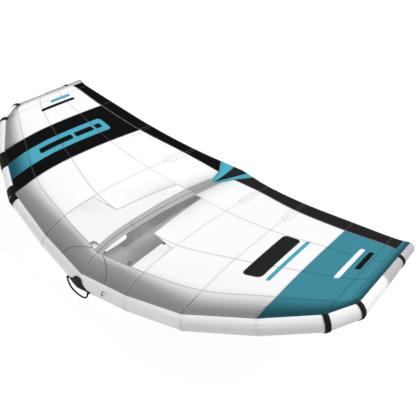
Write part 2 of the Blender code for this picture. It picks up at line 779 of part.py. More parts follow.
def web_chords():
    found = [middle_chord(row) for row in range(WEB_FIRST_ROW, len(MIDDLE_ROW_SHARES))]
    return found + [tail_chord(row) for row in range(1, WEB_LAST_ROW + 1)]


def strut_table():
    """Places behind the nose with the strut's axis height and radius there."""
    start = strut_section(web_chords()[0])
    neck = le_frame(0)[0].z - STRUT_NECK_DROP
    rows = [(CENTRE_CHORD * STRUT_NECK_CHORD_SHARE, neck, STRUT_NECK_RADIUS)]
    for chord, share in zip(STRUT_FRONT_CHORD_SHARES, STRUT_FRONT_RADIUS_SHARES):
        rows.append((CENTRE_CHORD * chord, start[0], STRUT_RADIUS * share))
    for chord in web_chords() + list(STRUT_TAIL_SHARES):
        rows.append((CENTRE_CHORD * chord, *strut_section(chord)))
    return rows


STRUT_TABLE = strut_table()


def strut_at(distance):
    keys = [row[0] for row in STRUT_TABLE]
    height = keyed(keys, [row[1] for row in STRUT_TABLE], distance)
    radius = keyed(keys, [row[2] for row in STRUT_TABLE], distance)
    return height, radius


def strut_point(distance, angle, lift=0.0):
    """A point on the strut: angle 0 is port, 90 degrees is up."""
    height, radius = strut_at(distance)
    size = radius + lift

    def place_at(at):
        return Vector((size * math.cos(at), distance, height + size * math.sin(at)))
    return on_facets(angle, place_at)


def strut_run(first, last):
    """Places from first to last, with every ring of the strut between them."""
    return [first] + [row[0] for row in STRUT_TABLE if first < row[0] < last] + [last]


def strut_rings(distances, lift):
    return [ring(lambda angle, d=distance: strut_point(d, angle, lift), TUBE_SIDES) for distance in distances]


def add_cutter(name, radius, depth, frame):
    bpy.ops.mesh.primitive_cylinder_add(vertices=TURNED_STEPS, radius=radius, depth=depth)
    made = bpy.context.active_object
    made.name = name
    made.parent = wing
    made.matrix_local = frame
    hide_cutter(made)
    return made


def cut(made, cutter):
    hole = made.modifiers.new("hole", "BOOLEAN")
    hole.operation = "DIFFERENCE"
    hole.solver = "EXACT"
    hole.object = cutter


def join(made, extra):
    """Unites a helper with a piece; the helper itself is kept among the cutters."""
    union = made.modifiers.new("join", "BOOLEAN")
    union.operation = "UNION"
    union.solver = "EXACT"
    union.object = extra
    hide_cutter(extra)


def hide_cutter(made):
    for collection in list(made.users_collection):
        collection.objects.unlink(made)
    cutters.objects.link(made)
    made.hide_render = True
    made.display_type = "WIRE"


def frame_at(point, outward, across):
    """A frame whose Z looks outward and whose X lies along the given direction."""
    z = outward.normalized()
    x = (across - z * across.dot(z)).normalized()
    y = z.cross(x)
    turned = Matrix((x, y, z)).transposed().to_4x4()
    return Matrix.Translation(point) @ turned


def make_strut():
    distances = [row[0] for row in STRUT_TABLE]
    last = distances[-1] - SEAM_GAP / 2
    height, radius = strut_at(distances[-1])
    axis = Vector((0, distances[0], strut_at(distances[0])[0]))
    casing = tube("strut_casing", "grey_dacron", strut_rings(distances[:-1] + [last], 0), axis, CASING_WALL)
    nose = closed_tube("nose_saddle", None, le_rings([-1, 0, 1], CLEARANCE), le_frame(-1)[0], 0, ("first", "last"))
    hide_cutter(nose)
    cut(casing, nose)
    cap = [ring(lambda angle: strut_point(distances[-1] + SEAM_GAP / 2, angle), TUBE_SIDES)]
    for chord, share in zip(TAIL_CAP_SHARES, TAIL_CAP_RADIUS_SHARES):
        size = radius * share
        level = height + (spine_height(chord) - spine_height(STRUT_TAIL_SHARES[-1]))
        place = CENTRE_CHORD * chord
        cap.append(ring(lambda angle: Vector((size * math.cos(angle), place, level + size * math.sin(angle))), TUBE_SIDES))
    closed_tube("strut_tail_cap", "grey_dacron", cap, Vector((0, distances[-1], height)), CASING_WALL, ("last",))
    inset = -(CASING_WALL + BLADDER_CLEARANCE)
    start = le_frame(0)[0].y + LE_RADIUS + BLADDER_CLEARANCE
    stops = strut_run(start, distances[-1] - 4 * SEAM_GAP)
    bladder = closed_tube("strut_bladder", "bladder_film", strut_rings(stops, inset),
                          Vector((0, start, strut_at(start)[0])), BLADDER_WALL, ("first", "last"))
    make_web()
    return casing, bladder


def make_web():
    chords = web_chords()
    low, high = [], []
    for chord in chords[:-1]:
        distance = CENTRE_CHORD * chord
        height, radius = strut_at(distance)
        low.append(Vector((0, distance, height + radius + CLEARANCE)))
        high.append(Vector((0, distance, spine_height(chord))))
    rows = [[bottom, bottom.lerp(top, 0.5), top] for bottom, top in zip(low, high)]
    sheet("strut_web", "grey_dacron", [(rows, None, False)], CLOTH, offset=0)


# Soft handles
def ribbon(name, finish, path, widths, thickness, parent):
    """A flat strap along a path in the YZ plane, as wide across X as the widths say."""
    rows = []
    for point, width in zip(path, widths):
        rows.append([Vector((-width / 2, point[0], point[1])), Vector((0, point[0], point[1])),
                     Vector((width / 2, point[0], point[1]))])
    return sheet(name, finish, [rows], thickness, offset=0, parent=parent)


def strut_bottom(distance):
    height, radius = strut_at(distance)
    return height - radius


def handle_pivot(centre_distance):
    """Where a handle's two tabs turn, in the wing's frame: front and rear tab centres."""
    drop = CLEARANCE + ANCHOR_THICKNESS + CLEARANCE + WEBBING_TAB_RADIUS
    ends = []
    for sign in (-1, 1):
        distance = centre_distance + sign * HANDLE_LENGTH / 2
        ends.append(Vector((0, distance, strut_bottom(distance) - drop)))
    return ends


def make_handle(label, centre_distance):
    down = math.radians(270)
    angles = angle_run(down - ANCHOR_HALF_ANGLE, down + ANCHOR_HALF_ANGLE)
    reach = (HANDLE_LENGTH + ANCHOR_LENGTH) / 2
    places = strut_run(centre_distance - reach, centre_distance + reach)
    sleeve(label + "_patch", "black_webbing", strut_point, [(places, angles)], ANCHOR_THICKNESS)
    front, rear = handle_pivot(centre_distance)
    span = (rear - front).length
    axis = bpy.data.objects.new(label + "_axis", None)
    parts.objects.link(axis)
    axis.parent = wing
    axis.location = (front + rear) / 2
    axis.rotation_euler.x = math.atan2(rear.z - front.z, rear.y - front.y)
    bend = (span - GRIP_LENGTH) / 2
    tab = WEBBING_TAB_RADIUS
    path, widths = [], []
    for turn in (80, 45, 0):
        rise = tab * math.sin(math.radians(turn))
        path.append((-span / 2, rise))
        widths.append(2 * tab * math.cos(math.radians(turn)))
    path.append((-span / 2, -2 * tab))
    widths.append(WEBBING_WIDTH * 0.62)
    for step in range(1, 6):
        turn = math.radians(90) * step / 5
        path.append((-span / 2 + bend * (1 - math.cos(turn)), -2 * tab - (HANDLE_DROP - 2 * tab) * math.sin(turn)))
        widths.append(WEBBING_WIDTH * (0.62 + 0.38 * min(step / 3, 1)))
    path.append((0, -HANDLE_DROP))
    widths.append(WEBBING_WIDTH)
    path += [(-y, z) for y, z in path[-2::-1]]
    widths += widths[-2::-1]
    ribbon(label + "_webbing", "black_webbing", path, widths, WEBBING_THICKNESS, axis)
    inner = GRIP_LENGTH - 4 * CLEARANCE
    rings = []
    for place in (-0.5, -0.42, 0.42, 0.5):
        size = GRIP_RADIUS * (0.9 if abs(place) > 0.45 else 1)
        size = max(size, GRIP_BORE_RADIUS + (GRIP_RADIUS - GRIP_BORE_RADIUS) / 2)
        rings.append([Vector((size * math.cos(2 * math.pi * step / GRIP_SIDES), inner * place,
                              -HANDLE_DROP + size * math.sin(2 * math.pi * step / GRIP_SIDES)))
                      for step in range(GRIP_SIDES)])
    bore = []
    for place in (0.5, -0.5):
        size = GRIP_BORE_RADIUS
        bore.append([Vector((size * math.cos(2 * math.pi * step / GRIP_SIDES), inner * place,
                             -HANDLE_DROP + size * math.sin(2 * math.pi * step / GRIP_SIDES)))
                     for step in range(GRIP_SIDES)])
    loop = rings + bore + [rings[0]]
    form = bmesh.new()
    made = [[form.verts.new(point) for point in points] for points in loop[:-1]]
    made.append(made[0])
    for i in range(len(made) - 1):
        for j in range(GRIP_SIDES):
            k = (j + 1) % GRIP_SIDES
            form.faces.new((made[i][k], made[i][j], made[i + 1][j], made[i + 1][k]))
    bmesh.ops.recalc_face_normals(form, faces=form.faces)
    mesh = bpy.data.meshes.new(label + "_grip")
    form.to_mesh(mesh)
    form.free()
    smooth(mesh)
    add_object(label + "_grip", mesh, "neoprene", axis)
    return axis


def round_cord(name, finish, points, radius, parent=None, cyclic=False):
    """A round cord along points, as a curve object with filled caps."""
    data = bpy.data.curves.new(name, "CURVE")
    data.dimensions = "3D"
    data.bevel_depth = radius
    data.bevel_resolution = 2
    data.use_fill_caps = True
    spline = data.splines.new("POLY")
    spline.points.add(len(points) - 1)
    for target, point in zip(spline.points, points):
        target.co = (*point, 1)
    spline.use_cyclic_u = cyclic
    made = bpy.data.objects.new(name, data)
    parts.objects.link(made)
    made.parent = parent or wing
    data.materials.append(material(finish))
    return made


def box(name, finish, low, high, frame, parent=None, bevel=0.0):
    """A box between two corners of a local frame."""
    form = bmesh.new()
    bmesh.ops.create_cube(form, size=1)
    size = [b - a for a, b in zip(low, high)]
    middle = [(a + b) / 2 for a, b in zip(low, high)]
    bmesh.ops.scale(form, vec=size, verts=form.verts)
    bmesh.ops.translate(form, vec=middle, verts=form.verts)
    mesh = bpy.data.meshes.new(name)
    form.to_mesh(mesh)
    form.free()
    made = add_object(name, mesh, finish, parent)
    made.matrix_local = frame
    if bevel:
        edge = made.modifiers.new("edge", "BEVEL")
        edge.width = bevel
        edge.segments = 2
    return made


def make_nose_handle():
    outer = le_station_at(LE_STRAP_HALF_LENGTH)
    facet = LE_STRAP_WIDTH / 2 / LE_RADIUS
    angles = angle_run(LE_STRAP_ANGLE - facet, LE_STRAP_ANGLE + facet)
    places = [-outer, 0, outer]
    strap = sleeve("le_handle_strap", "black_webbing", le_point, [(places, angles)], LE_STRAP_THICKNESS, CLEARANCE)
    make_keepers(strap)
    make_nose_pad(facet)
    pivot = le_point(outer, LE_STRAP_ANGLE, LE_LOOP_STANDOFF)
    axis = bpy.data.objects.new("le_handle_axis", None)
    parts.objects.link(axis)
    axis.parent = wing
    axis.location = (0, pivot.y, pivot.z)
    half = LE_STRAP_HALF_LENGTH - KEEPER_THICKNESS - CLEARANCE - LE_LOOP_RADIUS
    points = []
    steps = 16
    for step in range(steps + 1):
        turn = math.pi * step / steps
        wide = math.cos(turn)
        points.append((-half * math.copysign(abs(wide) ** 0.8, wide), 0, -LE_LOOP_DROP * math.sin(turn) ** 0.85))
    round_cord("le_handle_loop", "black_webbing", points, LE_LOOP_RADIUS, axis)
    return axis


def make_keepers(strap):
    """Two cheeks on the strap's ends that hold the ends of the loop between them."""
    station = le_station_at(LE_STRAP_HALF_LENGTH)
    seat = le_point(station, LE_STRAP_ANGLE)
    outward = le_point(station, LE_STRAP_ANGLE, LE_LOOP_STANDOFF) - seat
    outward = Vector((0, outward.y, outward.z)).normalized()
    low = CLEARANCE + LE_STRAP_THICKNESS * 0.6
    high = LE_LOOP_STANDOFF + LE_LOOP_RADIUS
    for side, name in ((1, "keeper_port"), (-1, "keeper_starboard")):
        root = Vector((side * (LE_STRAP_HALF_LENGTH - KEEPER_THICKNESS / 2), seat.y, seat.z))
        join(strap, box(name, None, (-KEEPER_THICKNESS / 2, -KEEPER_WIDTH / 2, low),
                        (KEEPER_THICKNESS / 2, KEEPER_WIDTH / 2, high), frame_at(root, outward, Vector((1, 0, 0)))))


def make_nose_pad(facet):
    """A domed pad above the strap: straight along the strap, round towards the seam."""
    low = LE_STRAP_ANGLE - facet - 2 * CLEARANCE / LE_RADIUS
    high = low - LE_PAD_HEIGHT / LE_RADIUS
    half = le_station_at(LE_PAD_HALF_LENGTH)
    columns = []
    for angle in angle_run(high, low):
        share = (low - angle) / (low - high)
        width = half * math.sqrt(max(1 - share * share, 0.03))
        line = []
        for along in PAD_ALONG_SHARES:
            swell = math.cos(share * math.pi / 2) * math.sin(math.pi / 2 * min(1, 0.35 + share * 3)) * (1 - along ** 4)
            line.append((width * along, angle, swell))
        columns.append(line)
    upper = [[le_point(station, angle, 2 * CLEARANCE + BAND_THICKNESS + LE_PAD_THICKNESS * swell)
              for station, angle, swell in line] for line in columns]
    lower = [[le_point(station, angle, 2 * CLEARANCE) for station, angle, swell in line] for line in columns]
    return slab("le_handle_pad", "neoprene", upper, lower)


def slab(name, finish, upper, lower):
    """A closed body between two grids of points with the same layout."""
    form = bmesh.new()
    tops = [[form.verts.new(point) for point in row] for row in upper]
    bottoms = [[form.verts.new(point) for point in row] for row in lower]
    rows, columns = len(upper), len(upper[0])
    for i in range(rows - 1):
        for j in range(columns - 1):
            form.faces.new((tops[i][j], tops[i + 1][j], tops[i + 1][j + 1], tops[i][j + 1]))
            form.faces.new((bottoms[i][j + 1], bottoms[i + 1][j + 1], bottoms[i + 1][j], bottoms[i][j]))
    rim = [(0, j) for j in range(columns)] + [(i, columns - 1) for i in range(1, rows)]
    rim += [(rows - 1, j) for j in range(columns - 2, -1, -1)] + [(i, 0) for i in range(rows - 2, 0, -1)]
    for (i, j), (k, m) in zip(rim, rim[1:] + rim[:1]):
        form.faces.new((tops[i][j], tops[k][m], bottoms[k][m], bottoms[i][j]))
    bmesh.ops.recalc_face_normals(form, faces=form.faces)
    mesh = bpy.data.meshes.new(name)
    form.to_mesh(mesh)
    form.free()
    smooth(mesh)
    return add_object(name, mesh, finish)


def make_leash_loop():
    station = le_station_at(LEASH_LOOP_SPAN)
    centre, up, front, radius = le_frame(station)
    half = LEASH_LOOP_HEIGHT / 2 / radius
    points = []
    for step in range(9):
        turn = math.pi * step / 8
        angle = LEASH_LOOP_ANGLE - half * math.cos(turn)
        lift = CLEARANCE + LEASH_LOOP_RADIUS / 2 + LEASH_LOOP_STANDOFF * math.sin(turn)
        points.append(le_point(station, angle, lift))
    return round_cord("leash_loop", "black_webbing", points, LEASH_LOOP_RADIUS)


# Turned pieces: a closed profile of (radius, height) spun round the local Z axis
def turned(name, finish, profile, frame, parent=None):
    form = bmesh.new()
    rings = []
    for radius, height in profile:
        rings.append([form.verts.new((radius * math.cos(2 * math.pi * step / TURNED_STEPS),
                                      radius * math.sin(2 * math.pi * step / TURNED_STEPS), height))
                      for step in range(TURNED_STEPS)])
    rings.append(rings[0])
    for first, last in zip(rings, rings[1:]):
        for j in range(TURNED_STEPS):
            k = (j + 1) % TURNED_STEPS
            form.faces.new((first[j], first[k], last[k], last[j]))
    bmesh.ops.recalc_face_normals(form, faces=form.faces)
    mesh = bpy.data.meshes.new(name)
    form.to_mesh(mesh)
    form.free()
    smooth(mesh)
    made = add_object(name, mesh, finish, parent)
    made.matrix_local = frame
    return made


def make_valve(casing, bladder):
    frame = seat_frame(strut_point, VALVE_CHORD, VALVE_ANGLE, FLANGE_RADIUS, Vector((0, 1, 0)))
    hole = add_cutter("valve_hole", VALVE_STEM_RADIUS + CLEARANCE, STRUT_RADIUS / 2, frame)
    cut(casing, hole)
    cut(bladder, hole)
    base, top = CLEARANCE, CLEARANCE + FLANGE_HEIGHT
    turned("valve_flange", "black_plastic", [
        (VALVE_RADIUS + CLEARANCE, base), (FLANGE_RADIUS, base), (FLANGE_RADIUS, top - FLANGE_HEIGHT / 3),
        (FLANGE_RADIUS - FLANGE_HEIGHT, top), (VALVE_RADIUS + CLEARANCE, top)], frame)
    rim = CLEARANCE + VALVE_HEIGHT
    turned("valve_body", "black_plastic", [
        (VALVE_STEM_RADIUS, -VALVE_STEM_DEPTH), (VALVE_STEM_RADIUS, base), (VALVE_RADIUS, base),
        (VALVE_RADIUS, rim), (VALVE_BORE_RADIUS, rim), (VALVE_BORE_RADIUS, -VALVE_STEM_DEPTH)], frame)
    make_valve_cap(frame, rim)
    return frame


def make_valve_cap(frame, rim):
    """A flip cap on a barrel beside the valve's rim, with a pull tab on the far side."""
    axis = bpy.data.objects.new("valve_cap_axis", None)
    parts.objects.link(axis)
    axis.parent = wing
    reach = VALVE_RADIUS + CLEARANCE + CAP_BARREL_RADIUS
    level = rim + CLEARANCE + CAP_HEIGHT / 2
    axis.matrix_local = frame @ Matrix.Translation((-reach, 0, level))
    form = bmesh.new()
    disc = bmesh.ops.create_cone(form, cap_ends=True, segments=TURNED_STEPS, radius1=VALVE_RADIUS,
                                 radius2=VALVE_RADIUS, depth=CAP_HEIGHT)["verts"]
    bmesh.ops.translate(form, vec=(reach, 0, 0), verts=disc)
    mesh = bpy.data.meshes.new("valve_cap")
    form.to_mesh(mesh)
    form.free()
    smooth(mesh)
    cap = add_object("valve_cap", mesh, "black_plastic", axis)
    low = (reach + VALVE_RADIUS * 0.9, -CAP_TAB_WIDTH / 2, -CAP_HEIGHT / 2)
    high = (reach + VALVE_RADIUS + CAP_TAB_LENGTH, CAP_TAB_WIDTH / 2, CAP_HEIGHT / 4)
    tab = box("valve_cap_tab", None, low, high, Matrix(), axis)
    low = (-CAP_BARREL_RADIUS, -CAP_BARREL_LENGTH / 2, -CAP_HEIGHT / 2)
    high = (reach - VALVE_RADIUS * 0.8, CAP_BARREL_LENGTH / 2, CAP_HEIGHT / 2)
    barrel = box("valve_cap_barrel", None, low, high, Matrix(), axis)
    join(cap, tab)
    join(cap, barrel)


def curve_between(start, heading, finish, arrival, steps):
    """Points of a smooth run that leaves along one direction and arrives along another."""
    reach = (finish - start).length
    controls = (start, start + heading * reach * 0.55, finish + arrival * reach * 0.55, finish)
    found = []
    for step in range(steps + 1):
        t = step / steps
        weights = ((1 - t) ** 3, 3 * t * (1 - t) ** 2, 3 * t * t * (1 - t), t ** 3)
        found.append(sum((point * weight for point, weight in zip(controls, weights)), Vector((0, 0, 0))))
    return found


def make_hose(casing, strut_bladder, centre_casing, le_bladder):
    station = -le_station_at(HOSE_LE_SPAN)
    frames = [seat_frame(le_point, station, HOSE_LE_ANGLE, station / 8, Vector((1, 0, 0))),
              seat_frame(strut_point, HOSE_STRUT_CHORD, HOSE_STRUT_ANGLE, FLANGE_RADIUS, Vector((0, 1, 0)))]
    seats = [frame.to_translation() for frame in frames]
    outs = [frame.to_3x3() @ Vector((0, 0, 1)) for frame in frames]
    top = CLEARANCE + FITTING_HEIGHT
    profile = [
        (HOSE_BORE_RADIUS, -FITTING_STEM_DEPTH), (FITTING_RADIUS, -FITTING_STEM_DEPTH),
        (FITTING_RADIUS, CLEARANCE), (FITTING_FLANGE_RADIUS, CLEARANCE),
        (FITTING_FLANGE_RADIUS, CLEARANCE + FITTING_FLANGE_HEIGHT), (FITTING_RADIUS, CLEARANCE + FITTING_FLANGE_HEIGHT),
        (FITTING_RADIUS, top), (HOSE_BORE_RADIUS, top)]
    for frame, targets, name in ((frames[0], (centre_casing, le_bladder), "le_hose_hole"),
                                 (frames[1], (casing, strut_bladder), "strut_hose_hole")):
        hole = add_cutter(name, FITTING_RADIUS + CLEARANCE, STRUT_RADIUS / 2, frame)
        for target in targets:
            cut(target, hole)
    turned("hose_fitting_nose", "black_plastic", profile, frames[0])
    turned("hose_fitting_strut", "black_plastic", profile, frames[1])
    start, finish = (seat + out * (top + CLEARANCE) for seat, out in zip(seats, outs))
    path = curve_between(start, outs[0], finish, outs[1], HOSE_STEPS)
    round_cord("inflation_hose", "hose_plastic", path, HOSE_RADIUS)
    return path


def make_clip(path):
    """A pinch clip on the middle of the hose: a base with two posts and an arm hinged between them."""
    middle = len(path) // 2
    along = (path[middle + 1] - path[middle - 1]).normalized()
    bulge = path[middle] - (path[0] + path[-1]) / 2
    frame = frame_at(path[middle], bulge - along * along.dot(bulge), along)
    local = [frame.inverted() @ point for point in path]
    near = [point.z for point in local if abs(point.x) < CLIP_LENGTH]
    floor = min(near) - HOSE_RADIUS - CLIP_EASE
    roof = max(near) + HOSE_RADIUS + CLIP_EASE
    base = box("hose_clip_base", "black_plastic", (-CLIP_LENGTH / 2, -CLIP_WIDTH / 2, floor - CLIP_PLATE),
               (CLIP_LENGTH / 2, CLIP_WIDTH / 2, floor), frame)
    inner = CLIP_WIDTH / 2 - CLIP_POST
    for side, name in ((1, "clip_post_left"), (-1, "clip_post_right")):
        low, high = sorted((side * inner, side * CLIP_WIDTH / 2))
        join(base, box(name, None, (-CLIP_LENGTH / 2, low, floor - CLIP_PLATE / 2),
                       (-CLIP_LENGTH / 2 + 2 * CLIP_PLATE, high, roof + CLIP_PLATE), frame))
    axis = bpy.data.objects.new("hose_clip_axis", None)
    parts.objects.link(axis)
    axis.parent = wing
    axis.matrix_local = frame @ Matrix.Translation((CLIP_PLATE - CLIP_LENGTH / 2, 0, roof + CLIP_PLATE / 2))
    box("hose_clip_arm", "black_plastic", (-CLIP_PLATE / 2, CLEARANCE - inner, -CLIP_PLATE / 2),
        (CLIP_LENGTH - CLIP_PLATE, inner - CLEARANCE, CLIP_PLATE / 2), Matrix(), axis, bevel=CLIP_PLATE / 4)


make_canopy()
make_leading_edge()
strut_casing, strut_bladder = make_strut()
for side, label in ((1, "port"), (-1, "starboard")):
    make_batten(label, side)
make_handle("front_handle", FRONT_HANDLE_CHORD)
make_handle("rear_handle", REAR_HANDLE_CHORD)
make_nose_handle()
make_leash_loop()
make_valve(strut_casing, strut_bladder)
hose_path = make_hose(strut_casing, strut_bladder, bpy.data.objects["le_casing_centre"], bpy.data.objects["le_bladder"])
make_clip(hose_path)
wing.location = (0, -FRONT_HANDLE_CHORD, -strut_bottom(FRONT_HANDLE_CHORD))
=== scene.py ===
from math import pi, radians

import bpy
import numpy as np
from bpy.props import FloatProperty, FloatVectorProperty, PointerProperty
from mathutils import Matrix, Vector
from numpy import array, clip, concatenate, cos, interp, linspace, sin, sqrt, stack, where


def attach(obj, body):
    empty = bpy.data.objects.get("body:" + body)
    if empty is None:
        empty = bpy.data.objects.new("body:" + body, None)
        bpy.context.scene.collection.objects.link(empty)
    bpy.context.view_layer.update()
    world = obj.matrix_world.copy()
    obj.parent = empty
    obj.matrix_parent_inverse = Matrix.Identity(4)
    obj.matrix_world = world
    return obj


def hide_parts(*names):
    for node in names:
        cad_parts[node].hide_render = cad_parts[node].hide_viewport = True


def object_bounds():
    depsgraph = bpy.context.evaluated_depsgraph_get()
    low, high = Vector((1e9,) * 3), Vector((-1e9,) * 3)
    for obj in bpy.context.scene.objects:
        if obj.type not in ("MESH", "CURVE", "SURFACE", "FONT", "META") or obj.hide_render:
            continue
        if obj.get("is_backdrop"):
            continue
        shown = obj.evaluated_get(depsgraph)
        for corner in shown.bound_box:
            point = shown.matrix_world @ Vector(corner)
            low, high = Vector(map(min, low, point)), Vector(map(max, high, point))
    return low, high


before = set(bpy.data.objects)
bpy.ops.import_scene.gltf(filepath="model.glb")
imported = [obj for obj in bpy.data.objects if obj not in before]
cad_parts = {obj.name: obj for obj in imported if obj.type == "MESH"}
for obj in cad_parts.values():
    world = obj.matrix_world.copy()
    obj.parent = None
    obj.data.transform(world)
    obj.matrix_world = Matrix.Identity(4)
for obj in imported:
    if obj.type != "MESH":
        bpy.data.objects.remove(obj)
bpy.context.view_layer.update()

bl_info = {
    "name": "Wingfoil Wing",
    "version": (1, 0, 0),
    "blender": (4, 5, 0),
    "location": "3D View > Sidebar > Wing",
    "description": "Sews, inflates and fits out a wingfoil wing on its packed frame",
    "category": "Object",
}

TURN = 2 * pi
UP = array((0.0, 0.0, 1.0))
AROUND = np.arange(72) / 72 * TURN
SIDES = ((1, "port"), (-1, "starboard"))
TUBE, WEB = ("leading_edge_centre",), ("web_cloth",)
BLADDER, STRUT_BLADDER = ("le_bladder_film",), ("strut_bladder_film",)

# Sizes of the wing's own frame in metres, as its solids have them
CENTRE_CHORD, HALF_SPAN, TIP_RISE = 1.80, 1.48, 0.411
CENTRE_CAMBER = 0.139
CLEARANCE = 0.0003
CLOTH_TOP = 0.0015
TIP = 5
NOSE_POINTS = array((
    (0.0, 0.250, 0.508, 0.749, 0.931, 1.0), (0.0, 0.012, 0.036, 0.130, 0.240, 0.334),
    (0.0, 0.166, 0.433, 0.715, 0.924, 1.0))).T * (HALF_SPAN, CENTRE_CHORD, TIP_RISE)
TAIL_POINTS = array((
    (0.0, 0.258, 0.520, 0.785, 0.962, 1.030), (1.0, 0.867, 0.783, 0.726, 0.698, 0.704),
    (0.0, 0.337, 0.615, 0.887, 1.047, 1.085))).T * (HALF_SPAN, CENTRE_CHORD, TIP_RISE)
RIB_CAMBER = (1.0, 0.686, 0.457, 0.239, 0.079, 0.0)
RIB_ROUNDNESS = (3.8, 3.8, 2.2, 1.7, 1.7, 1.7)
CAMBER_PEAK, TAIL_FLATNESS, NOSE_BLEND = 0.34, 1.1, 0.12
NOSE_SEAM = (0.072, 0.095, 0.125, 0.154, 0.127, 0.100)
CROSS_SEAM = (0.257, 0.284, 0.354, 0.387, 0.387, 0.387)
REAR_SEAM = (0.589, 0.624, 0.646, 0.660, 0.649, 0.630)
BAND_SEAM = (0.864, 0.912, 0.899, 0.884, 0.880, 0.820)
MIDDLE_ROWS = (0.0, 0.13, 0.258, 0.306, 0.358, 0.50, 0.62, 0.74, 0.87, 1.0)
REAR_ROWS = (0.0, 0.30, 0.607, 0.632, 0.69, 0.84, 1.0)
WINDOW_ROWS, WINDOW_RIBS = (0, 0.306, 0.358, 1), (1, 1, 0.473, 0.325)
PATCH_WIDTHS = (0.0, 0.0, 0.01, 0.11, 0.20, 0.34, 0.47, 0.74, 1.0)
INSERT_WIDTHS = (0.0, 0.0, 0.0, 0.0, 0.10, 0.26, 0.43, 0.71, 1.0)
PATCH_HALF, INSERT_HALF = 0.177, 0.071
STRIP_HALF, STRIP_REAR_HALF = 0.030, 0.048
BAND_END = 4.57
LE_RADII = 0.098 * array((1, .80, .64, .60, .59, .57, .53, .39))
TIP_RUN = (0.42, 1.0)
ROUND = 0.994
LIP, LIP_LIFT = radians(5), 0.0008
WEB_KEYS = (0.2056, 0.333, 0.500, 0.628, 0.722, 0.778, 0.820, 1.0)
WEB_HEIGHTS = 0.141 * array((1, .93, .79, .55, .31, .13, 0, 0))
STRUT_RADII = 0.090 * array((1, .985, .95, .89, .82, .76, .70, .24))
STRUT_TAIL = (0.864, 0.900)
TAIL_JOINT, TAIL_CAP = 1.62, 0.081
FRONT_HANDLE, REAR_HANDLE = 0.84, 1.30
HANDLE_LENGTH, HANDLE_DROP, TAB, PATCH_THICK = 0.20, 0.070, 0.005, 0.0018
STRAP_HALF, STRAP_ANGLE, STRAP_WIDTH = 0.105, radians(72), 0.020


def unit(vectors):
    """Vectors divided by their own lengths."""
    return vectors / np.maximum(np.linalg.norm(vectors, axis=-1, keepdims=True), 1e-12)


def between(first, last, share):
    return first + (last - first) * share


def floats(*values):
    return np.broadcast_arrays(*(np.asarray(v, float) for v in values))


def rows_of(table, place):
    """A table, the row below each real-valued place in it, and how far past that row the place lies."""
    table, place = np.asarray(table, float), np.asarray(place, float)
    row = clip(np.floor(place).astype(int), 0, len(table) - 2)
    t = place - row
    return table, row, t[..., None] if table.ndim > 1 else t


def curve(table, place):
    """A Catmull-Rom curve through the rows of a table."""
    table, row, t = rows_of(table, place)
    wide = concatenate([[2 * table[0] - table[1]], table, [2 * table[-1] - table[-2]]])
    a, b, c, d = (wide[row + k] for k in range(4))
    return b + (c - b) * t * t * (3 - 2 * t) + (c - a) / 2 * t * (1 - t) ** 2 - (d - b) / 2 * t * t * (1 - t)


def runs(table, place):
    """Straight runs between the rows of a table."""
    table, row, t = rows_of(table, place)
    return between(table[row], table[row + 1], t)


def keyed(keys, values, place):
    """A cubic through values at uneven keys, whose slope at a key comes from its neighbours."""
    keys, values = np.asarray(keys, float), np.asarray(values, float)
    slopes = np.gradient(values, keys)
    place = clip(place, keys[0], keys[-1])
    row = clip(np.searchsorted(keys, place, side="right") - 1, 0, len(keys) - 2)
    step = keys[row + 1] - keys[row]
    t = (place - keys[row]) / step
    return (values[row] * (1 + 2 * t) * (1 - t) ** 2 + slopes[row] * step * t * (1 - t) ** 2
            + values[row + 1] * t * t * (3 - 2 * t) - slopes[row + 1] * step * t * t * (1 - t))


def canopy_rest(rib, chord):
    """Canopy of one half: a line from nose to tail, raised by a power curve up to the camber's
    peak and by a cosine behind it, and pulled to the straight seam near the nose."""
    nose, tail = curve(NOSE_POINTS, rib), curve(TAIL_POINTS, rib)
    point = between(nose, tail, chord[..., None])
    ahead = 1 - clip(1 - chord / CAMBER_PEAK, 0, None) ** curve(RIB_ROUNDNESS, rib)
    turn = clip((chord - CAMBER_PEAK) / (1 - CAMBER_PEAK), 0, 1) * pi / 2
    behind = clip(cos(turn), 0, None) ** TAIL_FLATNESS
    point[..., 2] += CENTRE_CAMBER * curve(RIB_CAMBER, rib) * where(chord <= CAMBER_PEAK, ahead, behind)
    return point + (runs(NOSE_POINTS, rib) - nose) * clip(1 - chord / NOSE_BLEND, 0, None)[..., None]


def tube_stations():
    """Centre, up and front of the leading edge at each joint: the tube hangs under the canopy's edge,
    square to the bisector of the two seam runs that meet there."""
    edge = TAIL_POINTS[TIP] - NOSE_POINTS[TIP]
    seam = concatenate([NOSE_POINTS, NOSE_POINTS[TIP] + edge * array(TIP_RUN)[:, None]])
    incoming = unit(seam - concatenate([seam[1:2] * (-1, 1, 1), seam[:-1]]))
    along = unit(incoming + concatenate([incoming[1:], incoming[-1:]]))
    rib, share = np.arange(TIP, dtype=float), array((0.1, *TIP_RUN))
    inner = canopy_rest(rib, array(NOSE_SEAM[:TIP]) * 0.35) - canopy_rest(rib, rib * 0)
    outer = canopy_rest(np.full(3, TIP - 0.1), share) - canopy_rest(np.full(3, float(TIP)), share)
    aft = concatenate([inner, outer])
    up = unit(np.cross(along, aft))
    front = -np.cross(up, along)
    front *= where((front * aft).sum(-1, keepdims=True) < 0, 1, -1)
    return seam - up * (LE_RADII + CLEARANCE)[:, None], up, unit(front)


def spine(chord):
    """Height of the canopy's centre line."""
    chord = np.asarray(chord, float)
    return canopy_rest(chord * 0, chord)[..., 2]


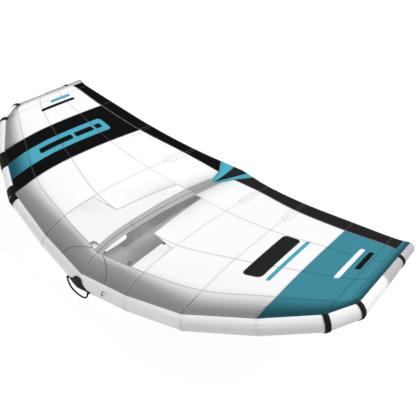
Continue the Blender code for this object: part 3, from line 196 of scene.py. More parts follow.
def strut_table():
    """Places along the strut with the height of its axis and its radius, a web's height under the canopy."""
    chords = concatenate([between(NOSE_SEAM[0], REAR_SEAM[0], array(MIDDLE_ROWS[2:])),
                          between(REAR_SEAM[0], BAND_SEAM[0], array(REAR_ROWS[1:6])), STRUT_TAIL])
    radius = interp(chords, WEB_KEYS, STRUT_RADII)
    height = spine(chords) - interp(chords, WEB_KEYS, WEB_HEIGHTS) - CLEARANCE - radius
    chords = concatenate([(0.064, 0.112, 0.156), chords])
    height = concatenate([(LE_CENTRE[0, 2] - 0.006, height[0], height[0]), height])
    return CENTRE_CHORD * chords, height, concatenate([(0.070, 0.090 * 0.975, 0.090), radius])


LE_CENTRE, LE_UP, LE_FRONT = tube_stations()
INNER_RUN = LE_CENTRE[1, 0]
STRUT_Y, STRUT_Z, STRUT_R = strut_table()
ORIGIN = array((0, -FRONT_HANDLE, -float(interp(FRONT_HANDLE, STRUT_Y, STRUT_Z - STRUT_R))))


def canopy(rib, chord, lift=0.0):
    """A point on the canopy, moved along its normal, which is the cross product of two small steps.
    A negative rib is the starboard half."""
    rib, chord, lift = floats(rib, chord, lift)
    side, rib, step = where(rib < 0, -1.0, 1.0), np.minimum(np.abs(rib), TIP), 0.01
    along = canopy_rest(np.minimum(rib + step, TIP), chord) - canopy_rest(np.maximum(rib - step, 0), chord)
    aft = canopy_rest(rib, np.minimum(chord + step, 1)) - canopy_rest(rib, np.maximum(chord - step, 0))
    normal = np.cross(along, aft)
    normal[..., 0] *= clip(rib / step, 0, 1)
    point = canopy_rest(rib, chord) + unit(normal) * lift[..., None]
    point[..., 0] *= side
    return point + ORIGIN


def le(station, angle, lift=0.0):
    """A point on the leading edge tube: rings at the joints, ruled straight between them. Angle 0 is
    the canopy's seam and a quarter turn is the front."""
    station, angle, lift = floats(station, angle, lift)
    _, row, share = rows_of(LE_CENTRE, np.abs(station))

    def ring(k):
        out = LE_UP[k] * cos(angle)[..., None] + LE_FRONT[k] * sin(angle)[..., None]
        return LE_CENTRE[k] + out * (LE_RADII[k] * ROUND + lift)[..., None]
    point = between(ring(row), ring(row + 1), share)
    point[..., 0] *= where(station < 0, -1.0, 1.0)
    return point + ORIGIN


def strut(place, angle, lift=0.0):
    """A point on the strut: a circle about its axis at each place. Angle 0 is port and a quarter turn is up."""
    place, angle, lift = floats(place, angle, lift)
    size = keyed(STRUT_Y, STRUT_R, place) * ROUND + lift
    return stack([size * cos(angle), place, keyed(STRUT_Y, STRUT_Z, place) + size * sin(angle)], -1) + ORIGIN


# Meshes
def travelled(points, axis=0):
    """The distance gone at each point of a line."""
    return np.insert(np.cumsum(np.linalg.norm(np.diff(points, axis=axis), axis=-1), axis), 0, 0, axis)


def flat_map(points, ring):
    """Lays a grid out flat: the distance along each row from its middle, and down the middle column. With
    it comes how far each point lies from its nearest edge."""
    if ring:
        points = concatenate([points, points[:, :1]], 1)
    across, centre = travelled(points, 1), points.shape[1] // 2
    down = np.broadcast_to(travelled(points[:, centre])[:, None], across.shape)
    edge = np.minimum(down, down[-1:] - down)
    edge = edge[:, :-1] if ring else np.minimum(edge, np.minimum(across, across[:, -1:] - across))
    return stack([across - across[:, centre:centre + 1], down], -1), edge


def grid(points, ring=False, away=None, shade=0.0, fans=()):
    """Quads over a grid of points, turned to look the way that away says, or away from each ring's middle.
    fans are the rows that one flat face closes."""
    rows, columns = points.shape[:2]
    i, j = (v.ravel() for v in np.indices((rows - 1, columns if ring else columns - 1)))
    k = (j + 1) % columns
    quads = stack([i * columns + j, i * columns + k, (i + 1) * columns + k, (i + 1) * columns + j], -1)
    flat, edge = flat_map(points, ring)
    lay = stack([flat[i, j], flat[i, j + 1], flat[i + 1, j + 1], flat[i + 1, j]], 1)
    corners = points.reshape(-1, 3)[quads]
    normal = np.cross(corners[:, 2] - corners[:, 0], corners[:, 3] - corners[:, 1])
    away = corners.mean(1) - points.mean(1)[i] if away is None else away
    turned = np.sum(normal * away) < 0
    if turned:
        quads, lay = quads[:, ::-1], lay[:, ::-1]
    loops = [(row % rows * columns + np.arange(columns))[::-1 if (row % rows == 0) != turned else 1] for row in fans]
    return {"points": points.reshape(-1, 3), "quads": quads, "flat": lay, "fans": loops, "edge": edge.ravel(),
            "area": np.linalg.norm(normal, axis=-1).sum() / 2, "span": np.ptp(flat.reshape(-1, 2), axis=0),
            "shade": np.broadcast_to(shade, (rows, columns)).ravel()}


def piece(name, patches, look, body="wing", stands_for=(), slot=None, wall=0.0, offset=-1.0, sharp=None):
    """Joins patches into one mesh object at the origin that rides on a body."""
    patches = patches if isinstance(patches, list) else [patches]
    start = np.cumsum([0] + [len(patch["points"]) for patch in patches])
    points = concatenate([patch["points"] for patch in patches])
    quads = concatenate([patch["quads"] + base for patch, base in zip(patches, start)])
    loops = [loop + base for patch, base in zip(patches, start) for loop in patch["fans"]]
    corners = concatenate([quads.ravel(), *loops]).astype(np.int32)
    counts = array([4] * len(quads) + [len(loop) for loop in loops])
    mesh = bpy.data.meshes.new(name)
    mesh.vertices.add(len(points))
    mesh.vertices.foreach_set("co", points.astype(np.float32).ravel())
    mesh.loops.add(len(corners))
    mesh.loops.foreach_set("vertex_index", corners)
    mesh.polygons.add(len(counts))
    mesh.polygons.foreach_set("loop_start", (np.cumsum(counts) - counts).astype(np.int32))
    mesh.update(calc_edges=True)
    lay = np.zeros((len(corners), 2), np.float32)
    lay[:quads.size] = concatenate([patch["flat"].reshape(-1, 2) for patch in patches])
    mesh.uv_layers.new(name="flat").data.foreach_set("uv", lay.ravel())
    # edge is each point's distance from its piece's edge; shade is the painted shade that a finish darkens by.
    for key in ("edge", "shade"):
        values = concatenate([patch[key] for patch in patches]).astype(np.float32)
        mesh.attributes.new(key, "FLOAT", "POINT").data.foreach_set("value", values)
    mesh.shade_smooth()
    if sharp:
        mesh.set_sharp_from_angle(angle=radians(sharp))
    if wall:
        sides, crisp = np.zeros(len(mesh.loops), np.int32), np.zeros(len(mesh.edges), bool)
        mesh.loops.foreach_get("edge_index", sides)
        mesh.edges.foreach_get("use_edge_sharp", crisp)
        mesh.edges.foreach_set("use_edge_sharp", crisp | (np.bincount(sides, minlength=len(crisp)) == 1))
    if mesh.validate():
        raise RuntimeError(name + " has a faulty face")
    made = bpy.data.objects.new(name, mesh)
    bpy.context.scene.collection.objects.link(made)
    mesh.materials.append(finish(look))
    if wall:
        shell = made.modifiers.new("wall", "SOLIDIFY")
        shell.thickness, shell.offset, shell.use_even_offset = wall, offset, True
    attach(made, body)
    if stands_for:
        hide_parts(stands_for)
    return made


def sew(name, patches, look, node=(), rests_on=TUBE, held="stretched", wall=None, **more):
    """A cloth piece. The spans of its flat map and the area of its faces are worked out, but nothing uses them."""
    made = piece(name, patches, look, stands_for=node, wall=sizes().cloth_wall if wall is None else wall, **more)
    patches = patches if isinstance(patches, list) else [patches]
    area = float(sum(patch["area"] for patch in patches))
    width, length = (float(v) for v in np.max([patch["span"] for patch in patches], axis=0))
    width = max(width, area / length)
    area = max(area, 0.31 * width * length)
    return made


def carried(points, axes):
    """Local points carried by a frame."""
    return points @ axes[:3, :3].T + axes[:3, 3]


def turned(axes, profile, steps=40):
    """A closed profile of (radius, height) spun about a frame's Z axis."""
    radius, height = array(profile, float).T[..., None]
    angle = np.arange(steps) / steps * TURN
    local = stack([radius * cos(angle), radius * sin(angle), height + 0 * angle], -1)
    angle, rise, grow = angle + pi / steps, np.diff(height, axis=0), np.diff(radius, axis=0)
    outward = stack([rise * cos(angle), rise * sin(angle), 0 * angle - grow], -1).reshape(-1, 3)
    return grid(carried(local, axes), ring=True, away=outward @ axes[:3, :3].T)


def frame_at(point, outward, across):
    """A frame whose Z looks outward and whose X lies along across."""
    z = unit(np.asarray(outward, float))
    x = unit(across - z * np.dot(across, z))
    made = np.eye(4)
    made[:3] = stack([x, np.cross(z, x), z, point], -1)
    return made


# Shader trees
class Wire:
    """One output of a shader tree. Sums, differences and products with it add their Math nodes."""

    def __init__(self, tree, socket):
        self.tree, self.socket = tree, socket

    def calc(self, operation, *values):
        return self.tree.node("ShaderNodeMath", dict(enumerate(values)), operation=operation)

    def __add__(self, other):
        return self.calc("ADD", self, other)

    def __sub__(self, other):
        return self.calc("SUBTRACT", self, other)

    def __rsub__(self, other):
        return self.calc("SUBTRACT", other, self)

    def __mul__(self, other):
        return self.calc("MULTIPLY", self, other)

    __radd__, __rmul__ = __add__, __mul__

    def above(self, low, high):
        """Rises smoothly from 0 at low to 1 at high."""
        return self.tree.node("ShaderNodeMapRange", {"Value": self, "From Min": low, "From Max": high},
                              interpolation_type="SMOOTHSTEP")

    def wave(self, pitch):
        """A cosine from -1 to 1 that repeats at a pitch."""
        return self.calc("COSINE", self * (TURN / pitch))

    def near(self, value, half, soft):
        """1 within half a width of a value, 0 beyond it."""
        return 1 - (self - value).size().above(half - soft, half + soft)

    def size(self):
        return self.calc("ABSOLUTE", self)


class Tree:
    """A shader tree whose nodes are made by one method."""

    def __init__(self, owner):
        owner.use_nodes = True
        self.tree = owner.node_tree
        self.link = self.tree.links.new

    def node(self, kind, inputs=None, output=0, **settings):
        made = self.tree.nodes.new(kind)
        for key, value in settings.items():
            setattr(made, key, value)
        for key, value in (inputs or {}).items():
            if isinstance(value, Wire):
                self.link(value.socket, made.inputs[key])
            else:
                made.inputs[key].default_value = value
        return Wire(self, made.outputs[output])

    def seen(self):
        """1 for camera, glossy and transmission rays, which see the white around the wing."""
        rays = [self.node("ShaderNodeLightPath", output="Is %s Ray" % kind)
                for kind in ("Camera", "Glossy", "Transmission")]
        return rays[0].calc("MAXIMUM", rays[0].calc("MAXIMUM", *rays[:2]), rays[2])


class Finish(Tree):
    """A material on object coordinates and on its piece's own flat map."""

    def __init__(self, name, **fixed):
        self.material = bpy.data.materials.new(name)
        super().__init__(self.material)
        self.shader = self.tree.nodes["Principled BSDF"]
        for key, value in fixed.items():
            self.shader.inputs[key.replace("_", " ")].default_value = value
        self.place = self.node("ShaderNodeTexCoord", output="Object")

    def noise(self, scale, detail=2.0, rough=0.5):
        return self.node("ShaderNodeTexNoise", {"Vector": self.place, "Scale": scale, "Detail": detail,
                                                "Roughness": rough})

    def attribute(self, name):
        return self.node("ShaderNodeAttribute", output="Fac", attribute_name=name)

    def flat(self):
        """The two distances of the piece's own flat map."""
        across = self.node("ShaderNodeSeparateXYZ", {0: self.node("ShaderNodeUVMap", uv_map="flat")})
        return across, Wire(self, across.socket.node.outputs[1])

    def mix(self, share, first, second):
        first, second = ((*v, 1) if isinstance(v, tuple) else v for v in (first, second))
        return self.node("ShaderNodeMix", {0: share, 6: first, 7: second}, 2, data_type="RGBA")

    def dim(self, colour, factor):
        """A colour scaled by a number that may change over the surface."""
        return self.node("ShaderNodeVectorMath", {0: colour, 3: factor}, operation="SCALE")

    def feed(self, colour, roughness, height, strength, distance):
        bump = self.node("ShaderNodeBump", {"Strength": strength, "Distance": distance, "Height": height})
        for key, value in (("Base Color", colour), ("Roughness", roughness), ("Normal", bump)):
            self.link(value.socket, self.shader.inputs[key])
        return self.material


def ripstop(name, colour, thread, gleam=0.05, painted_dusk=None, gloss=0.6):
    """Coated ripstop cloth: a grid of thicker yarns, a fine weave, soft creases, two rows of stitches inside its edge,
    and painted shade, where the shade attribute carries its tone towards a darker colour."""
    made = Finish(name, Specular_IOR_Level=gleam)
    across, along = made.flat()
    yarns = across.calc("MAXIMUM", across.wave(0.005), along.wave(0.005)).above(0.9, 1.0)
    edge = made.attribute("edge")
    row = edge.calc("MAXIMUM", edge.near(0.0045, 0.0006, 0.0003), edge.near(0.0105, 0.0006, 0.0003))
    stitch = row * (across + along).wave(0.004).above(-0.4, 0.1)
    broad, soft, fine = made.noise(2.2, 3.0), made.noise(11.0, 4.0, 0.6), made.noise(60.0, 3.0, 0.6)
    tone = 1.0 + (broad - 0.5) * 0.03 + (fine - 0.5) * 0.03 - yarns * 0.02
    # Painted shade: the base colour darkens towards the given darker colour as far as the shade attribute says.
    base = made.mix(made.attribute("shade"), colour, painted_dusk) if painted_dusk else colour
    body = made.mix(stitch * 0.7, made.dim(base, tone), thread)
    height = yarns * 0.05 + soft * 0.6 + fine * 0.12 + stitch * 0.5 + (1 - edge.above(0.010, 0.016)) * 0.5
    return made.feed(body, gloss + (fine - 0.5) * 0.12 + stitch * 0.2, height, 0.45, 0.0012)


def dacron(name, colour, gleam=0.2, gloss=0.55):
    """Tight woven polyester of the tubes: a fine plain weave, faint bands and creases that gather at its seams."""
    made = Finish(name, Specular_IOR_Level=gleam)
    across, along = made.flat()
    weave = across.wave(0.0016) * along.wave(0.0016)
    edge = made.attribute("edge")
    gather = (1 - edge.above(0.0, 0.09)) * across.wave(0.021) * (made.noise(14.0, 2.0) + 0.35)
    broad, fine = made.noise(1.8, 3.0), made.noise(45.0, 4.0, 0.65)
    row = edge.calc("MAXIMUM", edge.near(0.005, 0.0007, 0.0004) * along.wave(0.0045).above(-0.5, 0.1),
                    edge.near(0.011, 0.0007, 0.0004) * across.wave(0.0045).above(-0.5, 0.1))
    tone = 1.0 + (broad - 0.5) * 0.03 + (fine - 0.5) * 0.04 + weave * 0.012 - row * 0.15
    height = weave * 0.06 + fine * 0.25 + gather * 0.8 + row * 0.4
    return made.feed(made.dim(colour, tone), gloss + (fine - 0.5) * 0.15, height, 0.5, 0.0015)


def tape(name, colour, thread, painted_dusk=None):
    """Seam tape: a folded strip with a zigzag of thread down each side, darkened by painted shade where its shade
    attribute says so.
    """
    made = Finish(name, Specular_IOR_Level=0.1)
    across, along = made.flat()
    zigzag = along.calc("PINGPONG", along, 0.0022) - 0.0011
    stitch = 1 - (across.size() - 0.0017 - zigzag * 0.6).size().above(0.0002, 0.0006)
    fine = made.noise(90.0, 3.0)
    # Painted shade: the tape darkens towards the given darker colour in the shaded nose zone.
    base = made.mix(made.attribute("shade").above(0.08, 0.7), colour, painted_dusk) if painted_dusk else colour
    body = made.mix(stitch * 0.4, made.dim(base, 1.0 + (fine - 0.5) * 0.12), thread)
    return made.feed(body, 0.62 + (fine - 0.5) * 0.1, stitch * 0.8 + fine * 0.2, 0.6, 0.0006)


def woven_strap(name, colour, pitch=0.0022, rough=0.78):
    """Woven strap: diagonal yarns that cross in a herringbone, with a denser selvedge."""
    made = Finish(name, Specular_IOR_Level=0.1)
    across, along = made.flat()
    slant = across.calc("PINGPONG", across, 0.006)
    yarn = (along + slant * 0.8).wave(pitch) * 0.6 + across.wave(pitch * 1.3) * 0.4
    fine = made.noise(220.0, 3.0, 0.7)
    tone = 1.0 + yarn * 0.30 + (fine - 0.5) * 0.5
    return made.feed(made.dim(colour, tone), rough + (fine - 0.5) * 0.2, yarn * 0.5 + fine * 0.3, 0.7, 0.0006)


def knit_foam(name, colour):
    """Knit-faced foam rubber: fine knitted loops over a soft, slightly dented body."""
    made = Finish(name, Specular_IOR_Level=0.2)
    across, along = made.flat()
    knit = (across + along).wave(0.0016) * (across - along).wave(0.0016)
    soft, fine = made.noise(35.0, 3.0), made.noise(260.0, 2.0)
    return made.feed(made.dim(colour, 1.0 + knit * 0.18 + (soft - 0.5) * 0.35),
                     0.82 + (fine - 0.5) * 0.2, knit * 0.4 + soft * 0.6 + fine * 0.2, 0.6, 0.0007)


def moulded(name, colour, rough=0.42):
    """Moulded plastic: a fine sparked grain with faint scuffs."""
    made = Finish(name, Specular_IOR_Level=0.5)
    grain, cloud = made.noise(900.0, 2.0), made.noise(40.0, 4.0, 0.6)
    scuff = cloud.above(0.56, 0.72)
    body = made.mix(scuff * 0.25, made.dim(colour, 1.0 + (grain - 0.5) * 0.2), tuple(min(1, v + 0.06) for v in colour))
    return made.feed(body, rough + scuff * 0.18 + (grain - 0.5) * 0.08, grain * 0.4 + cloud * 0.2, 0.35, 0.0003)


def clear_film(name, colour, alpha, rough=0.2):
    """Clear film: broad soft clouds that are painted reflection, low waves, and a faint milky edge."""
    made = Finish(name, Specular_IOR_Level=0.3)
    cloud, wave = made.noise(3.2, 2.0, 0.4), made.noise(6.0, 2.0, 0.4)
    # Painted reflection: broad clouds raise the alpha and dim the tone a little; the edges are a little milkier too.
    haze_and_painted_reflection = (1 - made.attribute("edge").above(0.0, 0.02)) * 0.10 + cloud.above(0.45, 0.75) * 0.10
    made.link((haze_and_painted_reflection + alpha).socket, made.shader.inputs["Alpha"])
    return made.feed(made.dim(colour, 1.0 - cloud.above(0.4, 0.8) * 0.06), rough + haze_and_painted_reflection * 0.2, wave, 0.15, 0.002)


class WingSizes(bpy.types.PropertyGroup):
    """Small sizes that a maker would change."""
    seam_tape: FloatProperty(name="Seam tape", description="Width of the tape over the canopy's seams",
                             default=0.0038, min=0.002, max=0.03, subtype="DISTANCE", unit="LENGTH")
    cloth_wall: FloatProperty(name="Cloth", description="Thickness of the canopy's cloth", default=0.0008,
                              min=0.0002, max=0.0012, subtype="DISTANCE", unit="LENGTH")
    casing_wall: FloatProperty(name="Casing", description="Thickness of the tubes' cloth", default=0.0010,
                               min=0.0002, max=0.0012, subtype="DISTANCE", unit="LENGTH")
    mesh_step: FloatProperty(name="Mesh step", description="Distance between points of the canopy's mesh",
                             default=0.016, min=0.008, max=0.05, subtype="DISTANCE", unit="LENGTH")
    floor_level: FloatProperty(name="Floor", description="Gap between the wing's lowest point and the floor",
                               default=0.0, min=0.0, max=0.5, subtype="DISTANCE", unit="LENGTH")


def colour_of(label, text, value):
    return FloatVectorProperty(name=label, description=text, default=value, size=3, min=0, max=1, subtype="COLOR")


class WingColours(bpy.types.PropertyGroup):
    """Colours of the wing's cloth and plastics."""
    white: colour_of("White", "Canopy and tube cloth", (0.86, 0.86, 0.87))
    grey: colour_of("Grey", "Spine strip", (0.42, 0.425, 0.43))
    black: colour_of("Black", "Dark gore and starboard band", (0.006, 0.006, 0.006))
    charcoal: colour_of("Charcoal", "Port band", (0.018, 0.018, 0.018))
    teal: colour_of("Teal", "Tip panel", (0.048, 0.235, 0.30))
    bright_teal: colour_of("Bright teal", "Vee, and bar on the dark gore", (0.072, 0.37, 0.48))
    webbing: colour_of("Webbing", "Straps, bands and cords", (0.008, 0.008, 0.008))
    plastic: colour_of("Plastic", "Valve, fittings and clip", (0.022, 0.022, 0.024))
    hose: colour_of("Hose", "Inflation hose", (0.33, 0.34, 0.35))
    film: colour_of("Film", "Windows", (0.62, 0.63, 0.635))


def sizes():
    return bpy.context.scene.wing_sizes


WHITE_THREAD, DARK_THREAD = (0.62, 0.63, 0.64), (0.07, 0.07, 0.075)
NEAR_BLACK, DARK_YARN = (0.06, 0.06, 0.062), (0.09, 0.09, 0.09)
LOOKS = {  # of each finish its maker, its colour or that colour's name, its slot, and what else the maker takes
    # Each ripstop's colour after its thread and gleam, and each tape's colour after its thread, is the darker colour
    # that painted shade carries it towards.
    "white_canopy": (ripstop, "white", "white_canopy", WHITE_THREAD, 0.05, (0.205, 0.205, 0.208)),
    "grey_canopy": (ripstop, "grey", "grey_dacron", (0.3, 0.3, 0.31)),
    # The web's mid grey is painted shade: it stands for white cloth in shade under the canopy.
    "web_cloth": (ripstop, (0.25, 0.255, 0.26), "grey_dacron", (0.18, 0.18, 0.19)),
    "black_canopy": (ripstop, "black", "black_canopy", DARK_THREAD, 0.0, None, 0.8),
    "charcoal_canopy": (ripstop, "charcoal", "charcoal_canopy", DARK_THREAD, 0.0, None, 0.8),
    "teal_canopy": (ripstop, "teal", "teal_canopy", (0.03, 0.15, 0.19), 0.0, (0.012, 0.06, 0.08)),
    "bar_teal": (ripstop, "bright_teal", "teal_canopy", (0.04, 0.2, 0.26), 0.0, (0.012, 0.07, 0.095)),
    "white_dacron": (dacron, "white", "white_dacron"),
    "sleeve": (dacron, (0.45, 0.455, 0.46), "grey_dacron"),
    # The strut's grey is painted shade: it stands for the white casing in shade under the canopy.
    "strut_dacron": (dacron, (0.34, 0.345, 0.35), "grey_dacron"),
    "black_dacron": (dacron, (0.006, 0.006, 0.006), "black_canopy", 0.03),
    "white_tape": (tape, (0.56, 0.565, 0.57), "white_canopy", (0.60, 0.60, 0.61), (0.04, 0.04, 0.04)),
    "pale_tape": (tape, (0.40, 0.40, 0.41), "white_canopy", (0.45, 0.45, 0.46)),
    "tube_tape": (tape, (0.85, 0.85, 0.86), "white_dacron", (0.79, 0.79, 0.80)),
    "grey_tape": (tape, (0.22, 0.225, 0.23), "grey_dacron", (0.3, 0.3, 0.31), (0.08, 0.08, 0.08)),
    "dark_tape": (tape, NEAR_BLACK, "black_canopy", DARK_YARN),
    "black_tape": (tape, NEAR_BLACK, "black_canopy", DARK_YARN, (0.03, 0.03, 0.03)),
    "teal_tape": (tape, (0.03, 0.12, 0.155), "teal_canopy", (0.05, 0.18, 0.23), (0.012, 0.05, 0.065)),
    "webbing": (woven_strap, "webbing", "black_webbing"),
    "neoprene": (knit_foam, (0.014, 0.014, 0.015), "neoprene"),
    "plastic": (moulded, "plastic", None),
    "hose": (moulded, "hose", "hose_plastic", 0.3),
    "window": (clear_film, "film", "window_film", 0.10),
    "bladder": (clear_film, (0.75, 0.78, 0.74), "bladder_film", 0.6, 0.3),
    "fibreglass": (moulded, (0.72, 0.69, 0.58), None, 0.4),
}
FINISHES = {}


def finish(look):
    """Each finish is made the first time that a piece asks for it."""
    if look not in FINISHES:
        make, colour, _, *values = LOOKS[look]
        if isinstance(colour, str):
            colour = tuple(getattr(bpy.context.scene.wing_colours, colour))
        FINISHES[look] = make(look, colour, *values)
    return FINISHES[look]


# Lines that the canopy's panels share
def seam(shares):
    """A seam's chord as a smooth curve over the ribs."""
    return lambda rib: curve(shares, np.abs(rib))


def straight(value):
    return lambda rib: np.full(np.shape(rib), float(value))


NOSE_LINE, CROSS_LINE, REAR_LINE, BAND_LINE = (seam(v) for v in (NOSE_SEAM, CROSS_SEAM, REAR_SEAM, BAND_SEAM))
TAIL_CHORDS = concatenate([between(REAR_SEAM[0], BAND_SEAM[0], array(REAR_ROWS)),
                           between(BAND_SEAM[0], 1, array((0.5, 1.0)))])


def inner_span(chord):
    """Width of the centre column's half at a chord share."""
    return between(NOSE_POINTS[1, 0], TAIL_POINTS[1, 0], np.asarray(chord, float))


def strip_edge(share):
    """Half width of the spine strip, in ribs, at a share between the nose seam and the rear seam."""
    return between(STRIP_HALF, STRIP_REAR_HALF, share) / inner_span(between(NOSE_SEAM[0], REAR_SEAM[0], share))


def window_edge(share):
    """Outer edge of a window: the first rib, then in along its corner, then slowly in to the rear."""
    return interp(share, WINDOW_ROWS, WINDOW_RIBS)


def vee_edge(half, widths, chord):
    """Half width of the vee in ribs, a smooth curve through its widths along the centre line."""
    return clip(keyed(TAIL_CHORDS, half * array(widths), chord), 0, None) / inner_span(chord)


def patch_edge(chord):
    return vee_edge(PATCH_HALF, PATCH_WIDTHS, chord)


def tail_place(rib, chord):
    """Carries a chord of the centre line out to a rib, between the seams that it lies between."""
    rear, band = REAR_LINE(rib), BAND_LINE(rib)
    ahead = between(rear, band, (chord - REAR_SEAM[0]) / (BAND_SEAM[0] - REAR_SEAM[0]))
    return where(chord <= BAND_SEAM[0], ahead, between(band, 1, (chord - BAND_SEAM[0]) / (1 - BAND_SEAM[0])))


def middle_place(rib, share):
    """A chord at a share between the nose seam and the rear seam of a rib."""
    return between(NOSE_LINE(rib), REAR_LINE(rib), share)


def steps_for(length):
    return max(3, int(np.ceil(length / sizes().mesh_step)) + 1)


def even(length):
    """Even shares from 0 to 1, close enough for a length."""
    return linspace(0, 1, steps_for(length))


def shares_with(count, corners=()):
    """Even shares from 0 to 1, together with the shares at which an outline turns."""
    return np.unique(np.round(concatenate([linspace(0, 1, count), corners]), 6))


def painted_nose_shade(chord, rib):
    """How deep a point lies in the painted shade of the zone behind the leading edge: nearly even up to the nose seam
    on the centre column, fading slowly further out, and 0 well behind the seam."""
    rib = clip(np.abs(rib), 0, TIP)
    depth, outer = np.asarray(chord) / NOSE_LINE(rib), clip((rib - 0.7) / 1.5, 0, 1)
    fade = clip((1.25 + 0.1 * outer - depth) / (0.6 + 0.6 * outer), 0, 1)
    return clip(1 - 0.25 * depth, 0, 1) * fade * fade * (3 - 2 * fade)


def painted_valley_shade(chord, rib, strip=0.044, fall=0.055):
    """The painted shade of the valley along the spine behind the windows, which also carries the grey spine strip on
    towards the vee: even on the strip, then fading outwards.
    """
    out = np.abs(rib) * inner_span(chord)
    return where(out < strip, 0.85, 0.5 * np.exp(-clip(out - strip, 0, None) / fall))


def painted_flank_shade(chord, rib, deepest=0.32, fall=0.06):
    """The nose's painted shade, and a light painted shade along the window's edge that fades outwards, from mid window
    on.
    """
    rows = linspace(WINDOW_ROWS[1], 1, 80)
    edge = interp(chord, middle_place(window_edge(rows), rows), window_edge(rows))
    out = clip(rib - edge, 0, None) * inner_span(chord)
    return np.maximum(painted_nose_shade(chord, rib), deepest * np.exp(-out / fall) * clip((chord - 0.30) / 0.2, 0, 1))


def panel(near, far, front, rear, side, rows, columns, tuck=False, painted_dusk=painted_nose_shade):
    """A cloth panel: each row runs between two ribs, each column between two seams, and a tucked panel
    has one row more that closes onto the tube."""
    near, far = (np.broadcast_to(v, rows.shape)[:, None] for v in (near, far))
    rib = between(near, far, columns)
    chord = between(front(rib), rear(rib), rows[:, None])
    # shade is the painted shade that the panel's finish darkens by.
    points, shade = canopy(rib * side, chord, CLOTH_TOP), painted_dusk(chord, rib)
    if tuck:
        points = concatenate([le(rib[:1] * side, LIP, LIP_LIFT), points])
        shade = concatenate([shade[:1], shade])
    return grid(points, away=UP, shade=shade)


def ribbon(ribs, chords, width, lift, under=False):
    """A strip along a line on the canopy, as wide as the cross product of its heading and the normal."""
    middle = canopy(ribs, chords, lift)
    normal = unit(canopy(ribs, chords, lift + 0.01) - middle)
    across = unit(np.cross(normal, unit(np.gradient(middle, axis=0))))
    shift = linspace(-0.5, 0.5, 5)[:, None] * width
    # The strips carry the nose zone's painted shade, which darkens the seam tapes there.
    return grid(middle[:, None] + across[:, None] * shift, away=-UP if under else UP,
                shade=painted_nose_shade(chords, ribs)[:, None])


def rib_pitch(rib, chord):
    """Metres from rib to rib at a point of the canopy."""
    return np.linalg.norm(canopy(rib + 0.1, chord) - canopy(rib - 0.1, chord)) / 0.2


def chord_length(rib):
    return np.linalg.norm(canopy(rib, 1.0) - canopy(rib, 0.0))


def pocket_line(rib, start, reach, half):
    """A narrow U about a rib: out from a chord for a reach in metres, a half circle, and back."""
    turn, leg = linspace(0, pi, 12), linspace(0, 1, 12)
    run = abs(reach) - half
    along = concatenate([run * leg, run + half * sin(turn[1:-1]), run * leg[::-1]])
    aside = concatenate([-half + 0 * leg, -half * cos(turn[1:-1]), half + 0 * leg])
    return rib + aside / rib_pitch(rib, start), start + np.sign(reach) * along / chord_length(rib)


class Maker:
    """What the wing's operators share."""
    bl_options = {"REGISTER"}


class WING_OT_centre(Maker, bpy.types.Operator):
    """Sews the centre column: nose panels, spine strip, side panels and rear panels. Each point is the
    canopy's surface at a rib and a chord that the seams around the panel bound"""
    bl_idname = "wing.centre"
    bl_label = "Centre panels"

    def execute(self, context):
        rows, rear_rows = shares_with(steps_for(0.95), MIDDLE_ROWS), shares_with(steps_for(0.5), REAR_ROWS)
        rib = strip_edge(rows)[:, None] * linspace(-1, 1, 9)
        strip = grid(canopy(rib, middle_place(rib, rows[:, None]), CLOTH_TOP), away=UP)
        sew("spine_strip_cloth", strip, "grey_canopy", "spine_strip", WEB)
        rows = rows[rows >= WINDOW_ROWS[1]]
        vee = patch_edge(between(REAR_SEAM[0], BAND_SEAM[0], rear_rows))
        for side, label in SIDES:
            for name, near, front, rear, down, across, rests_on, more in (
                    ("nose", 0.0, straight(0), NOSE_LINE, shares_with(14), even(0.38), TUBE, {"tuck": True}),
                    ("side", window_edge(rows), NOSE_LINE, REAR_LINE, rows, even(0.26), TUBE, {"painted_dusk": painted_flank_shade}),
                    ("rear", vee, REAR_LINE, BAND_LINE, rear_rows, even(0.38) ** 1.4, WEB, {"painted_dusk": painted_valley_shade})):
                cut, node = panel(near, 1.0, front, rear, side, down, across, **more), "%s_panel_%s" % (name, label)
                sew(node + "_cloth", cut, "white_canopy", node, rests_on)
        return {"FINISHED"}


class WING_OT_windows(Maker, bpy.types.Operator):
    """Cuts the two clear windows. The film is the canopy's surface, a little slack, with products of
    sines standing on it as low waves"""
    bl_idname = "wing.windows"
    bl_label = "Windows"

    def execute(self, context):
        rows, columns = shares_with(steps_for(0.95), MIDDLE_ROWS)[:, None], even(0.34)
        rib = between(strip_edge(rows), window_edge(rows), columns)
        chord = middle_place(rib, rows)
        wave = sin(rib * 17 + chord * 31) * sin(rib * 7 - chord * 23 + 1.3) + 0.6 * sin(rib * 31 - chord * 11)
        lift = CLOTH_TOP + (0.0012 * wave - 0.002) * sin(columns * pi) * sin(rows * pi)
        for side, label in SIDES:
            sew("window_%s_film" % label, grid(canopy(rib * side, chord, lift), away=UP), "window", "window_" + label,
                ("spine_strip_cloth",), wall=0.0004)
        return {"FINISHED"}


